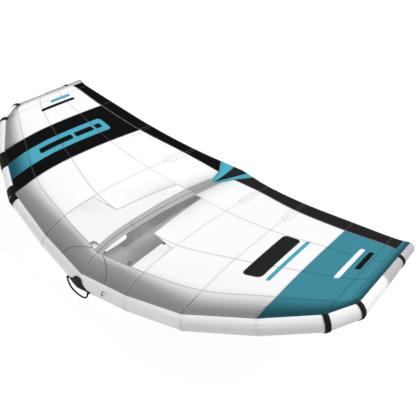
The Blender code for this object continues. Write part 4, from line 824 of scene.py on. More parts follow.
class WING_OT_gores(Maker, bpy.types.Operator):
    """Sews the outer gores between the ribs and the tip panels that close on the tip's tube. The tip
    panel is two grids: up to the band's seam, and on round the band's end to the trailing edge"""
    bl_idname = "wing.gores"
    bl_label = "Gores and tip panels"

    def execute(self, context):
        rib = np.unique(concatenate([linspace(3, TIP, steps_for(0.5)), [BAND_END]]))
        outer = rib[rib >= BAND_END - 1e-6]
        grids = ((rib, BAND_LINE(rib) * even(0.75)[:, None]),
                 (outer, between(BAND_LINE(outer), 1, linspace(0, 1, 9)[:, None])))
        for side, label in SIDES:
            middle, tip = ("white_canopy", "teal_canopy") if side > 0 else ("black_canopy", "white_canopy")
            for name, look, first in (("gore_inner_", "white_canopy", 1), ("gore_mid_", middle, 2)):
                gore = panel(first, first + 1.0, straight(0), BAND_LINE, side, even(1.25), even(0.38), True)
                sew(name + label + "_cloth", gore, look, name + label)
            patches = []
            for ribs, chords in grids:
                edge = le(interp(chords[:, -1:], (0, *TIP_RUN), (5, 6, 7)) * side, LIP, LIP_LIFT)
                points = concatenate([canopy(ribs * side, chords, CLOTH_TOP), edge], 1)
                # Painted shade: the nose zone's, and more of it towards the tip from rib 4.35 on.
                shade = np.maximum(painted_nose_shade(chords, ribs), clip((ribs - 4.35) / 0.6, 0, 1) ** 1.5 * 0.9)
                shade = concatenate([shade, shade[:, -1:]], 1)
                if not patches:
                    front = le(np.append(ribs, ribs[-1]) * side, LIP, LIP_LIFT)
                    points, shade = concatenate([front[None], points]), concatenate([shade[:1], shade])
                patches.append(grid(points, away=UP, shade=shade))
            sew("tip_panel_%s_cloth" % label, patches, tip, "tip_panel_" + label, ("leading_edge_tip_" + label,))
        return {"FINISHED"}


class WING_OT_trailing_edge(Maker, bpy.types.Operator):
    """Sews the dark band along the trailing edge and the vee in its middle, whose half width is a smooth
    curve through its widths"""
    bl_idname = "wing.trailing_edge"
    bl_label = "Trailing edge"

    def execute(self, context):
        rows = shares_with(12)
        for side, label in SIDES:
            near = patch_edge(between(BAND_SEAM[0], 1, rows))
            band = panel(near, BAND_END, BAND_LINE, straight(1), side, rows, even(1.5))
            look = "charcoal_canopy" if side > 0 else "black_canopy"
            sew("te_band_%s_cloth" % label, band, look, "te_band_" + label, WEB)
        chord = linspace(TAIL_CHORDS[2], 1, 44)[:, None]
        rib = patch_edge(chord) * linspace(-1, 1, 25)
        vee = grid(canopy(rib, tail_place(rib, chord), CLOTH_TOP), away=UP)
        sew("te_patch_cloth", vee, "bar_teal", "te_patch", WEB)
        chord = linspace(TAIL_CHORDS[4] - 0.012, 1, 30)[:, None]
        rib = np.minimum(vee_edge(INSERT_HALF, INSERT_WIDTHS, chord), patch_edge(chord) * 0.85)
        rib = np.maximum(rib, 0.002) * linspace(-1, 1, 15)
        dark = grid(canopy(rib, tail_place(rib, chord), CLOTH_TOP + 0.0007), away=UP)
        sew("te_insert_cloth", dark, "charcoal_canopy", "te_insert", ("te_patch_cloth",), slot="black_canopy")
        return {"FINISHED"}


class WING_OT_seam_tapes(Maker, bpy.types.Operator):
    """Lays tape over every seam and under it: the ribs, the cross seams, the curved seams of the nose
    panels, the windows' edges, the spine strip and the hem"""
    bl_idname = "wing.seam_tapes"
    bl_label = "Seam tapes"

    def execute(self, context):
        found = {}

        def lay(look, label, ribs, chords, lift, wide=1.0, under=True):
            """Adds a strip on a line, as wide as a share of the seam tape, and another below the cloth."""
            strips, width = found.setdefault((look, label), []), sizes().seam_tape * wide
            strips.append(ribbon(ribs, chords, width, CLOTH_TOP + lift))
            if under:
                strips.append(ribbon(ribs, chords, width, CLOTH_TOP - sizes().cloth_wall - lift * 0.5, True))
        share, row, start = linspace(0, 1, 110), linspace(0, 1, 90), linspace(0, 1, 30)
        corner = concatenate([linspace(*WINDOW_ROWS[1:3], 12), linspace(WINDOW_ROWS[2], 1, 60)[1:]])
        tail = linspace(REAR_SEAM[0], TAIL_CHORDS[2] + 0.02, 30)
        for side, label in SIDES:
            outer = "teal_tape" if side > 0 else "white_tape"
            by_gore = {1: "white_tape", 2: "white_tape" if side > 0 else "black_tape", 3: outer}
            for rib in (1, 2, 3, 4):
                last = BAND_LINE(rib)
                lay(outer if rib == 4 else "white_tape", label, rib * side, share * last, 0.0010, 1.1 if rib < 3 else 1)
                for shift in (-0.028, 0.028) if rib < 3 else (0.0,):
                    lay("dark_tape", label, (rib + shift) * side, linspace(last, 1, 12), 0.0007, 0.9, False)
            for rib, reach in ((1, 0.26), (2, 0.17)):
                ribs, chords = pocket_line(rib, BAND_LINE(rib), -reach, 0.031)
                white = slice(17 if rib == 2 and side < 0 else None)
                lay("pale_tape", label, ribs[white] * side, chords[white], 0.0008, 0.85, False)
            for rib, reach in ((3, 0.07), (4, 0.09), (4.7, 0.07)):
                ribs, chords = pocket_line(rib, 0.012, reach, 0.013)
                lay(outer, label, ribs * side, chords, 0.0008, 0.6, False)
            for line in (NOSE_LINE, CROSS_LINE, REAR_LINE, BAND_LINE):
                for first, look in by_gore.items():
                    rib = linspace(first, BAND_END if first == 3 else first + 1, 50)
                    chord = line(rib)
                    if first == 3 and line is NOSE_LINE:
                        rib = linspace(3, 4.94, 50)
                        chord = interp(rib, (3, 3.5, 3.9, 4.43, 4.94), (0.154, 0.150, 0.136, 0.078, 0.004))
                    lay("grey_tape" if line is BAND_LINE else look, label, rib * side, chord, 0.0006,
                        1.9 if look == "white_tape" else 1.1)
            for look, rib, chord, lift, wide in (
                    ("white_tape", linspace(WINDOW_RIBS[2], 1, 24), CROSS_LINE, 0.0006, 1.9),
                    ("grey_tape", linspace(0, 1, 34), NOSE_LINE, 0.0006, 1),
                    ("white_tape", linspace(patch_edge(REAR_SEAM[0]), 1, 34), REAR_LINE, 0.0006, 1),
                    ("grey_tape", linspace(patch_edge(BAND_SEAM[0]), 1, 34), BAND_LINE, 0.0006, 1),
                    ("grey_tape", 0.52 - 0.40 * share ** 1.6, lambda rib: share * NOSE_LINE(rib), 0.0008, 1),
                    ("white_tape", window_edge(corner), lambda rib: middle_place(rib, corner), 0.0013, 1),
                    ("white_tape", strip_edge(row), lambda rib: middle_place(rib, row), 0.0013, 1),
                    ("grey_tape", (STRIP_REAR_HALF - 0.006 * start) / inner_span(tail),
                     lambda rib: tail_place(rib, tail), 0.0008, 0.7),
                    (outer, 4.47, lambda rib: linspace(0.075, BAND_LINE(BAND_END), 60), 0.0005, 1),
                    ("black_tape", linspace(patch_edge(1.0), 4.95, 120), straight(0.9955), 0.0004, 1)):
                lay(look, label, rib * side, chord(rib), lift, wide)
        lay("grey_tape", "centre", 0, linspace(0, NOSE_SEAM[0], 30), 0.0010)
        lay("dark_tape", "centre", 0, linspace(NOSE_SEAM[0], TAIL_CHORDS[2], 130), 0.0010)
        lay("dark_tape", "centre", linspace(-0.07, 0.10, 12), 0.242, 0.0012, 0.7, False)
        chord = linspace(TAIL_CHORDS[2], 1, 70)
        for inset, wide in ((0.0, 1), (0.013, 0.5)):
            edge = patch_edge(chord) - inset / inner_span(chord) * clip((chord - chord[0]) / 0.04, 0, 1)
            ribs, chords = concatenate([-edge[::-1], edge]), concatenate([chord[::-1], chord])
            chords = chords + inset / CENTRE_CHORD * (1 - np.abs(ribs) / 0.3).clip(0)
            lay("teal_tape", "centre", ribs, tail_place(ribs, chords), 0.0012, wide, False)
        for (look, label), strips in found.items():
            piece("seams_%s_%s" % (look.split("_")[0], label), strips, look)
        return {"FINISHED"}


class WING_OT_shapes(Maker, bpy.types.Operator):
    """Applies the teal bar of the dark gore and plain dark, teal and white blocks on it, on the port gore and on
    the tips: rounded rectangles, whose half width shrinks by a quarter circle at each end"""
    bl_idname = "wing.shapes"
    bl_label = "Applied shapes"

    def execute(self, context):
        end, corner, columns = 0.752, 0.026, linspace(-1, 1, 21)
        chord = concatenate([linspace(0, end - corner, 56),
                             end - corner * (1 - sin(linspace(0, 1, 16)[1:] * pi / 2))])[:, None]
        bend = clip((chord - end + corner) / corner, 0, 1)
        rib = 2.48 + (0.18 - 0.085 * (1 - sqrt(clip(1 - bend ** 2, 0, 1)))) * columns
        points = concatenate([le(-rib[:1], radians(5.5), 0.0011), canopy(-rib, chord, CLOTH_TOP + 0.0003)])
        # The bar carries the nose zone's painted shade.
        shade = painted_nose_shade(chord, 2.5)
        bar = grid(points, away=UP, shade=concatenate([shade[:1], shade]))
        sew("gore_bar", bar, "bar_teal", (), ("gore_mid_starboard_cloth",), "laid", 0.0)
        for name, look, rib, chord, width, length, corner, below in (
                ("bar_block_long", "black_canopy", -2.48, 0.345, 0.050, 0.30, 0.012, "gore_bar"),
                ("bar_block_middle", "black_canopy", -2.48, 0.565, 0.050, 0.18, 0.012, "gore_bar"),
                ("bar_block_short", "black_canopy", -2.48, 0.685, 0.050, 0.06, 0.012, "gore_bar"),
                ("gore_block_wide", "charcoal_canopy", 2.42, 0.46, 0.120, 0.46, 0.03, "gore_mid_port_cloth"),
                ("gore_block_narrow", "bar_teal", 2.68, 0.46, 0.026, 0.46, 0.012, "gore_mid_port_cloth"),
                ("tip_block_white", "white_canopy", 3.62, 0.56, 0.030, 0.34, 0.012, "tip_panel_port_cloth"),
                ("tip_block_black", "black_canopy", 3.86, 0.62, 0.030, 0.20, 0.012, "tip_panel_port_cloth"),
                ("tip_block_dark", "black_canopy", -3.62, 0.56, 0.030, 0.34, 0.012, "tip_panel_starboard_cloth"),
                ("tip_block_teal", "bar_teal", -3.86, 0.62, 0.030, 0.20, 0.012, "tip_panel_starboard_cloth")):
            along = length / 2 * sin(linspace(-1, 1, 50) * pi / 2)[:, None]
            bend = clip((np.abs(along) - (length / 2 - corner)) / corner, 0, 1)
            wide = width / 2 - corner + corner * sqrt(clip(1 - bend ** 2, 0, 1))
            across = wide * linspace(-1, 1, 13) / rib_pitch(abs(rib), chord)
            shape = grid(canopy(rib + across, chord + along / chord_length(rib), CLOTH_TOP + 0.0013), away=UP)
            sew(name, shape, look, (), (below,), "laid", 0.0)
        return {"FINISHED"}


def assign(look, *nodes):
    for node in nodes:
        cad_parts[node].data.materials.clear()
        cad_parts[node].data.materials.append(finish(look))


class WING_OT_battens(Maker, bpy.types.Operator):
    """Gives the flat battens under the inner ribs their glass fibre"""
    bl_idname = "wing.battens"
    bl_label = "Battens"

    def execute(self, context):
        assign("fibreglass", "batten_port", "batten_starboard")
        return {"FINISHED"}


def le_length(station):
    """Distance along the leading edge's axis to a station."""
    total = travelled(LE_CENTRE)
    total[1:] += INNER_RUN - total[1]
    return np.sign(station) * interp(np.abs(station), np.arange(len(total)), total)


def round_run(stops, step=0.03):
    """Stations between stops that lie about a step apart, with two more close to each stop."""
    found = [stops]
    for first, last, run in zip(stops[:-1], stops[1:], np.abs(np.diff(le_length(stops)))):
        near = min(0.006 / run, 0.3)
        shares = concatenate([linspace(0, 1, max(int(run / step), 3)), [near, 1 - near]])
        found.append(between(first, last, np.unique(shares)))
    return np.unique(np.round(concatenate(found), 7))


def puckered(station, depth=0.0016, reach=0.035):
    """The leading edge's surface, with puckers that run along it near each joint: a cosine of the angle
    that fades with the distance from the joint."""
    station, joints = station[:, None], le_length(np.arange(-7.0, 8.0))
    nearest = np.min(np.abs(le_length(station)[..., None] - joints), -1)
    fold = cos(AROUND * 13 + 2.0 * sin(AROUND * 3 + station * 5)) * 0.6 + cos(AROUND * 29 + station * 9) * 0.4
    return le(station, AROUND, -depth * (0.5 - 0.5 * fold) * np.exp(-nearest / reach))


class WING_OT_leading_edge(Maker, bpy.types.Operator):
    """Inflates the leading edge's casing: circles at the joints with straight runs between them, creased
    at each joint, and rounded sleeves on the ends that a sine and a cosine close"""
    bl_idname = "wing.leading_edge"
    bl_label = "Leading edge"

    def execute(self, context):
        cuts = [("centre", array((-1, 0, 1)))]
        for side, label in SIDES:
            for name, stops in (("inner", (1, 2)), ("mid", (2, 3)), ("outer", (3, 4, 5)), ("tip", (5, 6))):
                cuts.append((name + "_" + label, array(stops) * side))
        for name, stops in cuts:
            stops = np.sort(stops) * 1.0
            stops[[0, -1]] += (CLEARANCE, -CLEARANCE)
            tube = grid(puckered(round_run(stops)), ring=True)
            sew("leading_edge_" + name, tube, "white_dacron", "le_casing_" + name, BLADDER, wall=sizes().casing_wall)
        for side, label in SIDES:
            body = le(linspace(6.004, 7, 14)[:, None] * side, AROUND)
            turn = linspace(0.09, 0.985, 14)[:, None, None] * pi / 2
            before, middle = LE_CENTRE[-2:] * (side, 1, 1) + ORIGIN
            dome = middle + unit(middle - before) * 0.0215 * sin(turn) + (body[-1] - middle) * cos(turn) ** 0.8
            sleeve = grid(concatenate([body, dome]), ring=True, fans=(-1,))
            sew("leading_edge_end_" + label, sleeve, "sleeve", "le_tip_sleeve_" + label, BLADDER,
                wall=sizes().casing_wall)
        return {"FINISHED"}


def across_joint(joint, reach, steps):
    """Stations from a distance before a joint to the same distance behind it."""
    before, at, after = le_length(joint + array((-1.0, 0.0, 1.0)))
    return np.unique(concatenate([linspace(joint - reach / (at - before), joint, steps),
                                  linspace(joint, joint + reach / (after - at), steps)]))


def wrap(stations, first, last, count, lift):
    """A strip on the leading edge over a run of stations and of angles in degrees."""
    return grid(le(stations[:, None], linspace(radians(first), radians(last), count), lift))


class WING_OT_bands(Maker, bpy.types.Operator):
    """Wraps the tube: black bands near the tips, seam tapes over the joints and the dark gore's two black
    fields. Each is the tube's surface over a run of stations and angles"""
    bl_idname = "wing.bands"
    bl_label = "Bands and tube tapes"

    def execute(self, context):
        for side, label in SIDES:
            first = 3 if side > 0 else -9
            for joint, name in ((4, "outer_" + label), (5, "tip_" + label)):
                band = wrap(across_joint(joint, 0.016, 5) * side, first, 349, 84, 0.0034)
                piece("band_" + name, band, "webbing", stands_for="le_band_" + name, wall=0.0015)
            band = wrap(linspace(6.55, 6.62, 6) * side, first, 348, 80, 0.0036)
            piece("band_end_" + label, band, "webbing", wall=0.0012)
            strips = [wrap(across_joint(joint, 0.004, 3) * side, 8, 352, 90, 0.0007) for joint in (1, 2, 3, 6)]
            piece("tube_tapes_" + label, strips, "tube_tape")
        wraps = [wrap(-linspace(*interp(span, LE_CENTRE[:, 0], np.arange(8)), 12), 5.2, 200, 60, 0.0012)
                 for span in ((0.987, 1.108), (0.718, 0.831))]
        sew("tube_dark_fields", wraps, "black_dacron", (), ("leading_edge_mid_starboard",), "laid", 0.0)
        return {"FINISHED"}


class WING_OT_bladders(Maker, bpy.types.Operator):
    """Makes the two bladders inside the casings: the casings' surfaces moved inwards, with closed ends"""
    bl_idname = "wing.bladders"
    bl_label = "Bladders"

    def execute(self, context):
        inset, around = -0.0022, AROUND[::2]
        station = round_run(array((-6.94, *range(-6, 7), 6.94)), 0.06)[:, None]
        place = linspace(LE_CENTRE[0, 1] + 0.102, 1.615, 60)[:, None]
        for node, points, rests_on in (("le_bladder", le(station, around, inset), TUBE),
                                       ("strut_bladder", strut(place, around, inset), ("strut_tube",))):
            sew(node + "_film", grid(points, ring=True, fans=(0, -1)), "bladder", node, rests_on, wall=0.0006)
        return {"FINISHED"}


def nose_axis(points):
    """Points mirrored to port, their feet on the first run of the leading edge's axis, and the tube's
    radius there."""
    points, run = points * 1.0, LE_CENTRE[1] - LE_CENTRE[0]
    points[..., 0] = np.abs(points[..., 0])
    share = clip(((points - LE_CENTRE[0]) * run).sum(-1, keepdims=True) / (run * run).sum(), 0, 1)
    return points, LE_CENTRE[0] + run * share, between(*LE_RADII[:2], share) * ROUND


def on_strut(place, lift=0.0):
    """Rings of the strut, which runs on straight ahead of its first place."""
    points = strut(np.maximum(place, STRUT_Y[0]), AROUND, lift)
    points[..., 1] = place + ORIGIN[1]
    return points


class WING_OT_strut(Maker, bpy.types.Operator):
    """Inflates the strut: circles about an axis that follows the canopy, run into the leading edge, with
    a sewn collar round the joint and a rounded cap on the tail. The collar starts at the first place of
    each line along the strut that is further from the leading edge's axis than the tube's radius"""
    bl_idname = "wing.strut"
    bl_label = "Strut"

    def execute(self, context):
        place = concatenate([linspace(0.085, STRUT_Y[0], 5)[:-1], linspace(STRUT_Y[0], TAIL_JOINT - CLEARANCE, 76)])
        turn = linspace(0, 0.97, 16)[:, None] * pi / 2
        rise, along = (spine(0.945) - spine(0.900)) / TAIL_CAP, TAIL_CAP * sin(turn)
        size = STRUT_R[-1] * ROUND * cos(turn) ** 0.75
        cap = stack([size * cos(AROUND), TAIL_JOINT + CLEARANCE + along + 0 * AROUND,
                     STRUT_Z[-1] + rise * along + size * sin(AROUND)], -1) + ORIGIN
        for name, node, points, fans in (("strut_tube", "strut_casing", strut(place[:, None], AROUND), ()),
                                         ("strut_end", "strut_tail_cap", cap, (-1,))):
            sew(name, grid(points, ring=True, fans=fans), "strut_dacron", node, STRUT_BLADDER,
                wall=sizes().casing_wall)
        place = linspace(0.03, 0.17, 281)
        points, foot, radius = nose_axis(on_strut(place[:, None]) - ORIGIN)
        start = place[np.argmax(np.linalg.norm(points - foot, axis=-1) > radius[..., 0], axis=0)]
        reach = array((0.0, 0.004, 0.008, 0.012))[:, None]
        rings = on_strut(start + reach, 0.0009)
        local = rings[0] + unit(rings[0] - rings[0].mean(0)) * (reach[::-1, :, None] + 0.001) - ORIGIN
        mirrored, foot, radius = nose_axis(local)
        on_tube = foot + unit(mirrored - foot) * (radius + 0.0010)
        on_tube[..., 0] = np.copysign(on_tube[..., 0], local[..., 0])
        collar = concatenate([on_tube + ORIGIN, rings[1:]])
        tail = strut(TAIL_JOINT + linspace(-0.007, 0.007, 5)[:, None], AROUND, 0.0009)
        for name, points in (("strut_collar", collar), ("strut_end_tape", tail)):
            piece(name, grid(points, ring=True), "tube_tape", wall=0.0004)
        return {"FINISHED"}


class WING_OT_web(Maker, bpy.types.Operator):
    """Sews the web that holds the strut under the canopy: a ruled wall between the strut's top and the
    centre line, cut back in a curve at the front, with tapes along its edges"""
    bl_idname = "wing.web"
    bl_label = "Web"

    def execute(self, context):
        first, last, share = 0.352, CENTRE_CHORD * TAIL_CHORDS[4], linspace(0, 1, 80)
        down = linspace(0, 1, 12)[:, None]
        place = between(first + 0.03 * sin(down * pi), last, share)
        low = keyed(STRUT_Y, STRUT_Z + STRUT_R, place) + 0.0002
        high = spine(place / CENTRE_CHORD) - 0.0002
        wall = grid(stack([place * 0, place, between(low, high, down)], -1) + ORIGIN, away=array((1.0, 0, 0)))
        sew("web_cloth", wall, "web_cloth", "strut_web", ("strut_tube",), wall=0.001, offset=0.0)
        place, strips = between(first, last, share)[:, None], []
        chord = place / CENTRE_CHORD
        for side in (1, -1):
            angle = pi / 2 - side * linspace(0.012, 0.16, 5)
            rib = side * linspace(0.002, 0.011, 4) / inner_span(chord)
            strips += [grid(strut(place, angle, 0.0008), away=UP), grid(canopy(rib, chord, -0.0006), away=-UP)]
        piece("web_tapes", strips, "grey_tape")
        return {"FINISHED"}


def resample(path, count):
    """Points evenly spaced along a smooth curve through the path's points."""
    fine = curve(path, linspace(0, len(path) - 1, 2000))
    total = travelled(fine)
    return stack([interp(linspace(0, total[-1], count), total, column) for column in fine.T], -1)


def swept(path, section, across):
    """A closed tube: a section of (side, up) points carried along a path, with the side square to the
    heading and to one fixed direction."""
    heading = unit(np.gradient(path, axis=0))
    side = unit(np.cross(heading, across))
    up = np.cross(side, heading)
    return path[:, None] + side[:, None] * section[..., :1] + up[:, None] * section[..., 1:]


def strap_section(width, thick):
    """A strap's section, wide along the second axis: a rectangle whose corners are quarter circles."""
    corner, turn = min(thick, width) * 0.4, linspace(0, pi / 2, 5) + np.arange(4)[:, None] * pi / 2
    centre = array(((1, 1), (-1, 1), (-1, -1), (1, -1))) * (thick / 2 - corner, width / 2 - corner)
    return (stack([cos(turn), sin(turn)], -1) * corner + centre[:, None]).reshape(-1, 2)


def cord(path, radius, steps, across):
    """A round cord along a path."""
    turn = np.arange(steps) / steps * TURN
    return grid(swept(path, stack([cos(turn), sin(turn)], -1) * radius, across), ring=True, fans=(0, -1))


def handle_frame(centre):
    """The frame of a handle, whose Y runs through the two sewn ends, and the distance between them."""
    places = array((centre - HANDLE_LENGTH / 2, centre + HANDLE_LENGTH / 2))
    ends = interp(places, STRUT_Y, STRUT_Z - STRUT_R) - 2 * CLEARANCE - PATCH_THICK - TAB
    along = array((0, HANDLE_LENGTH, ends[1] - ends[0]))
    made = np.eye(4)
    made[:3] = stack([(1, 0, 0), unit(along), np.cross((1, 0, 0), unit(along)),
                      array((0, centre, ends.mean())) + ORIGIN], -1)
    return made, np.linalg.norm(along)


class WING_OT_handles(Maker, bpy.types.Operator):
    """Sews the two soft handles under the strut: a rounded patch on the tube, a webbing loop carried
    along its path with a strap's section, and a padded grip spun round the path's middle"""
    bl_idname = "wing.handles"
    bl_label = "Front and rear handle"

    def execute(self, context):
        strap_wide, strap_thick, grip_half, bore = 0.025, 0.0025, 0.0594, 0.0131
        for label, centre in (("front_handle", FRONT_HANDLE), ("rear_handle", REAR_HANDLE)):
            share = linspace(-1, 1, 60)[:, None]
            half = radians(34) * (1 - 0.45 * clip((np.abs(share) - 0.82) / 0.18, 0, 1) ** 2.2)
            place = centre + share * (HANDLE_LENGTH + 0.050) / 2
            patch = grid(strut(place, 1.5 * pi + half * linspace(-1, 1, 25), CLEARANCE + PATCH_THICK), away=-UP)
            piece(label + "_base", patch, "webbing", stands_for=label + "_patch", wall=PATCH_THICK)
            axes, span = handle_frame(centre)
            bend, depth, turn = span / 2 - 0.060, 2 * TAB, np.arange(1, 6) * pi / 10
            path = [(-span / 2, TAB * 0.98), (-span / 2, 0), (-span / 2, -depth),
                    *zip(-span / 2 + bend * (1 - cos(turn)), -depth - (HANDLE_DROP - depth) * sin(turn)),
                    (-0.03, -HANDLE_DROP), (0.0, -HANDLE_DROP)]
            path = resample(concatenate([path, (array(path) * (-1, 1))[-2::-1]]), 120)
            level = path[:, 1]
            tab = 2 * sqrt(clip((TAB * 0.96) ** 2 - level ** 2, 1e-6, None))
            wide = where(level > 0, tab, interp(-level, (0, depth, 0.05), (depth * 0.96, 0.0155, strap_wide)))
            thick = where(level > 0, np.minimum(tab / 0.003, 1), 1)
            sections = strap_section(strap_wide, strap_thick) * stack([thick, wide / strap_wide], -1)[:, None]
            loop = swept(np.insert(path, 0, 0, 1), sections, (1.0, 0, 0))
            piece(label + "_strap", grid(carried(loop, axes), ring=True, fans=(0, -1)), "webbing", label,
                  stands_for=label + "_webbing", sharp=50)
            along = linspace(-grip_half, grip_half, 60)
            end = clip((grip_half - np.abs(along)) / 0.006, 0, 1)
            size = 0.0140 + 0.0022 * sqrt(1 - (1 - end) ** 2) + 0.0003 * cos(along / grip_half * pi / 2)
            profile = [*zip(size, along), (bore, grip_half), (bore, -grip_half), (size[0], along[0])]
            local = frame_at((0, 0, -HANDLE_DROP), (0, 1, 0), (1.0, 0, 0))
            made = piece(label + "_pad", turned(axes @ local, profile), "neoprene", label,
                         stands_for=label + "_grip", sharp=60)
        return {"FINISHED"}


class WING_OT_nose_handle(Maker, bpy.types.Operator):
    """Sews the nose handle: a strap on the tube with two keepers, a domed pad above it whose swell is a
    product of cosines, and a carrying loop along a flattened half circle"""
    bl_idname = "wing.nose_handle"
    bl_label = "Nose handle"

    def execute(self, context):
        outer, facet = STRAP_HALF / INNER_RUN, STRAP_WIDTH / 2 / LE_RADII[0]
        station = np.unique(concatenate([linspace(-outer, outer, 70), [-0.01, 0, 0.01]]))[:, None]
        upper = radians(1) * interp(np.abs(station) * INNER_RUN, (0, 0.045, 0.070, 0.090, STRAP_HALF),
                                    (44, 50, 59, 67, 71))
        share = linspace(0, 1, 14)
        angles = between(upper, STRAP_ANGLE + facet, share)
        strap = grid(le(station, angles, 2 * CLEARANCE + 0.0025 + 0.0022 * sin(share * pi) ** 0.5))
        seat, pivot = le(outer, STRAP_ANGLE, array((0, 0.012)))
        height = linspace(0.0020, 0.0168, 12)[:, None]
        wide = 0.0070 * sqrt(clip(1 - clip((height - 0.0118) / 0.0052, 0, 1) ** 2, 0.02, 1))
        thick, along = strap_section(1, 0.0040 / 0.014).T
        ring = stack([thick * 0.014 + 0 * height, along * 2 * wide, height + 0 * thick], -1)
        roots = [(side * (STRAP_HALF - 0.002), *seat[1:]) for side in (1, -1)]
        outward = (pivot - seat) * (0, 1, 1)
        keepers = [grid(carried(ring, frame_at(root, outward, (1.0, 0, 0))), ring=True, fans=(0, -1)) for root in roots]
        piece("nose_strap", strap, "webbing", stands_for="le_handle_strap", wall=0.0025)
        piece("nose_keepers", keepers, "webbing", sharp=50)
        fall = 20.5 + 45.5 * (1 - sin(linspace(0, 0.995, 44) * pi / 2))[:, None]
        along = sin(linspace(-1, 1, 41) * pi / 2)
        width = keyed((20.5, 22, 25, 30, 37, 43, 49, 58, 66),
                      (0.002, 0.012, 0.022, 0.031, 0.037, 0.044, 0.054, 0.068, 0.074), fall) / INNER_RUN
        deep = clip((fall - 20.5) / 12, 0, 1)
        swell = sin(deep * pi / 2) * (0.35 + 0.65 * clip((66 - fall) / 16, 0, 1)) * (1 - np.abs(along) ** 3.5)
        groove = 0.0012 * np.exp(-((fall - 36) / 1.2) ** 2) * (1 - along ** 2)
        upper = le(width * along, radians(1) * fall, 0.0066 + 0.0072 * swell - groove)
        lower = le(width * along, radians(1) * fall, 0.0008)
        pad = grid(concatenate([upper, lower[:, ::-1]], 1), ring=True, fans=(0, -1))
        piece("nose_pad", pad, "neoprene", stands_for="le_handle_pad")
        turn = linspace(0, pi, 90)
        half = STRAP_HALF - 0.004 - CLEARANCE - 0.005
        path = stack([-half * np.sign(cos(turn)) * np.abs(cos(turn)) ** 0.85, turn * 0, -0.080 * sin(turn) ** 0.85], -1)
        loop = cord(resample(path, 100) + (0, *pivot[1:]), 0.0055, 24, (0, 1.0, 0))
        piece("nose_loop", loop, "webbing", "nose_handle", stands_for="le_handle_loop")
        return {"FINISHED"}


class WING_OT_leash_loop(Maker, bpy.types.Operator):
    """Sews the small leash loop on the tube: a cord along a half sine above the tube's surface"""
    bl_idname = "wing.leash_loop"
    bl_label = "Leash loop"

    def execute(self, context):
        station, turn = 0.222 / INNER_RUN, linspace(0, pi, 40)
        angle = radians(40) - 0.013 / between(*LE_RADII[:2], station) * cos(turn)
        path = le(station, angle, CLEARANCE + 0.00125 + 0.014 * sin(turn))
        piece("leash_cord", cord(path, 0.0025, 16, (1.0, 0.1, 0.2)), "webbing", stands_for="leash_loop")
        return {"FINISHED"}


class WING_OT_valve(Maker, bpy.types.Operator):
    """Finishes the inflation valve"""
    bl_idname = "wing.valve"
    bl_label = "Inflation valve"

    def execute(self, context):
        assign("plastic", "valve_flange", "valve_body", "valve_cap")
        return {"FINISHED"}


class WING_OT_hose(Maker, bpy.types.Operator):
    """Fits the inflation hose: a circle carried along a Bezier run between its two fittings, which keep
    their turned shapes as the pinch clip does"""
    bl_idname = "wing.hose"
    bl_label = "Hose and clip"

    def execute(self, context):
        assign("plastic", "hose_fitting_nose", "hose_fitting_strut", "hose_clip_base", "hose_clip_arm")
        seats = array(((-0.16429, 0.14042, -0.00298), (-0.06215, 0.245, -0.03426))) + ORIGIN
        outs = array(((0.05094, 0.89178, 0.4496), (-0.70683, -0.02805, 0.70683)))
        start, end = seats + outs * 0.0166
        first, last = (start, end) + outs * np.linalg.norm(end - start) * 0.55
        t = linspace(0, 1, 70)[:, None]
        path = start * (1 - t) ** 3 + first * 3 * t * (1 - t) ** 2 + last * 3 * t * t * (1 - t) + end * t ** 3
        piece("hose_tube", cord(path, 0.0070, 28, (0.2, -0.7, 0.3)), "hose", stands_for="inflation_hose")
        return {"FINISHED"}


def placed(name, data, axes):
    """A new object of the stage, set by a matrix."""
    made = bpy.data.objects.new(name, data)
    bpy.context.scene.collection.objects.link(made)
    made.matrix_world = Matrix(axes.tolist())
    return made


def sun(name, direction, strength, angle):
    """A lamp that shines from a direction."""
    lamp = bpy.data.lights.new(name, "SUN")
    lamp.energy, lamp.angle = strength, radians(angle)
    return placed(name, lamp, frame_at((0, 0, 3), direction, (1.0, 0.01, 0.0)))


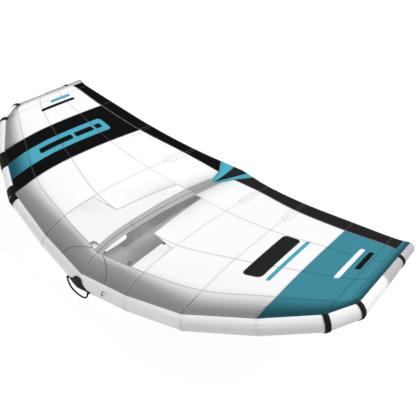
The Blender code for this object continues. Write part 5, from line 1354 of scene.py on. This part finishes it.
class WING_OT_stage(Maker, bpy.types.Operator):
    """Sets the camera, the soft light and the pale floor under the wing"""
    bl_idname = "wing.stage"
    bl_label = "Stage"

    def execute(self, context):
        scene, axes = context.scene, np.eye(4)
        scene.view_settings.view_transform = "Standard"
        lens = bpy.data.cameras.new("camera")
        lens.lens, lens.sensor_width = 39.8, 36
        axes[:3] = stack([(0.7804, 0.6129, 0.1236), (-0.4464, 0.4078, 0.7965), (0.4378, -0.6768, 0.5918),
                          array((1.699, -1.300, 2.12305)) + ORIGIN], -1)
        scene.camera = placed("camera", lens, axes)
        sun("key", (0.34, 0.47, 0.81), 0.92 * pi, 30)
        sun("fill", (-0.80, -0.60, 0.16), 0.46 * pi, 60)
        scene.world = bpy.data.worlds.new("studio")
        air = Tree(scene.world)
        back = air.tree.nodes["Background"]
        back.inputs["Color"].default_value = (1, 1, 1, 1)
        level = air.node("ShaderNodeMapRange", {"Value": air.seen(), "To Min": 0.32})
        air.link(level.socket, back.inputs["Strength"])
        floor = Finish("studio_floor", Base_Color=(0.60, 0.60, 0.60, 1), Roughness=0.9)
        glow = floor.node("ShaderNodeEmission", {"Strength": 1.12})
        plain = Wire(floor, floor.shader.outputs[0])
        blend = floor.node("ShaderNodeMixShader", {0: floor.seen() * 0.85, 1: plain, 2: glow})
        floor.link(blend.socket, floor.tree.nodes["Material Output"].inputs["Surface"])
        low, cells, reach = float(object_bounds()[0][2]) - 0.0005 - sizes().floor_level, 8, 30.0
        x, y = np.meshgrid(*[linspace(-reach, reach, cells + 1)] * 2)
        j, i = np.indices((cells, cells)).reshape(2, -1)
        corner = i * (cells + 1) + j
        mesh = bpy.data.meshes.new("floor")
        mesh.from_pydata(stack([x, y, x * 0 + low], -1).reshape(-1, 3).tolist(), [],
                         stack([corner, corner + 1, corner + cells + 2, corner + cells + 1], -1).tolist())
        mesh.materials.append(floor.material)
        made = placed("floor", mesh, np.eye(4))
        made.visible_shadow = False
        made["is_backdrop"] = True
        return {"FINISHED"}


PIECES = (WING_OT_centre, WING_OT_windows, WING_OT_gores, WING_OT_trailing_edge, WING_OT_seam_tapes, WING_OT_shapes,
          WING_OT_battens, WING_OT_leading_edge, WING_OT_bands, WING_OT_bladders, WING_OT_strut, WING_OT_web,
          WING_OT_handles, WING_OT_nose_handle, WING_OT_leash_loop, WING_OT_valve, WING_OT_hose, WING_OT_stage)


class WING_PT_panel(bpy.types.Panel):
    """Lists the wing's pieces"""
    bl_idname = "WING_PT_panel"
    bl_label = "Wingfoil wing"
    bl_space_type = "VIEW_3D"
    bl_region_type = "UI"
    bl_category = "Wing"

    def draw(self, context):
        for kind in PIECES:
            self.layout.operator(kind.bl_idname)
        for group in (context.scene.wing_sizes, context.scene.wing_colours):
            for key in group.__annotations__:
                self.layout.prop(group, key)


CLASSES = (WingSizes, WingColours, *PIECES, WING_PT_panel)


def register():
    for kind in CLASSES:
        bpy.utils.register_class(kind)
    bpy.types.Scene.wing_sizes = PointerProperty(type=WingSizes)
    bpy.types.Scene.wing_colours = PointerProperty(type=WingColours)


def unregister():
    del bpy.types.Scene.wing_sizes
    del bpy.types.Scene.wing_colours
    for kind in reversed(CLASSES):
        bpy.utils.unregister_class(kind)


def main():
    register()
    for kind in PIECES:
        group, name = kind.bl_idname.split(".")
        getattr(getattr(bpy.ops, group), name)()


if __name__ == "__main__":
    main()
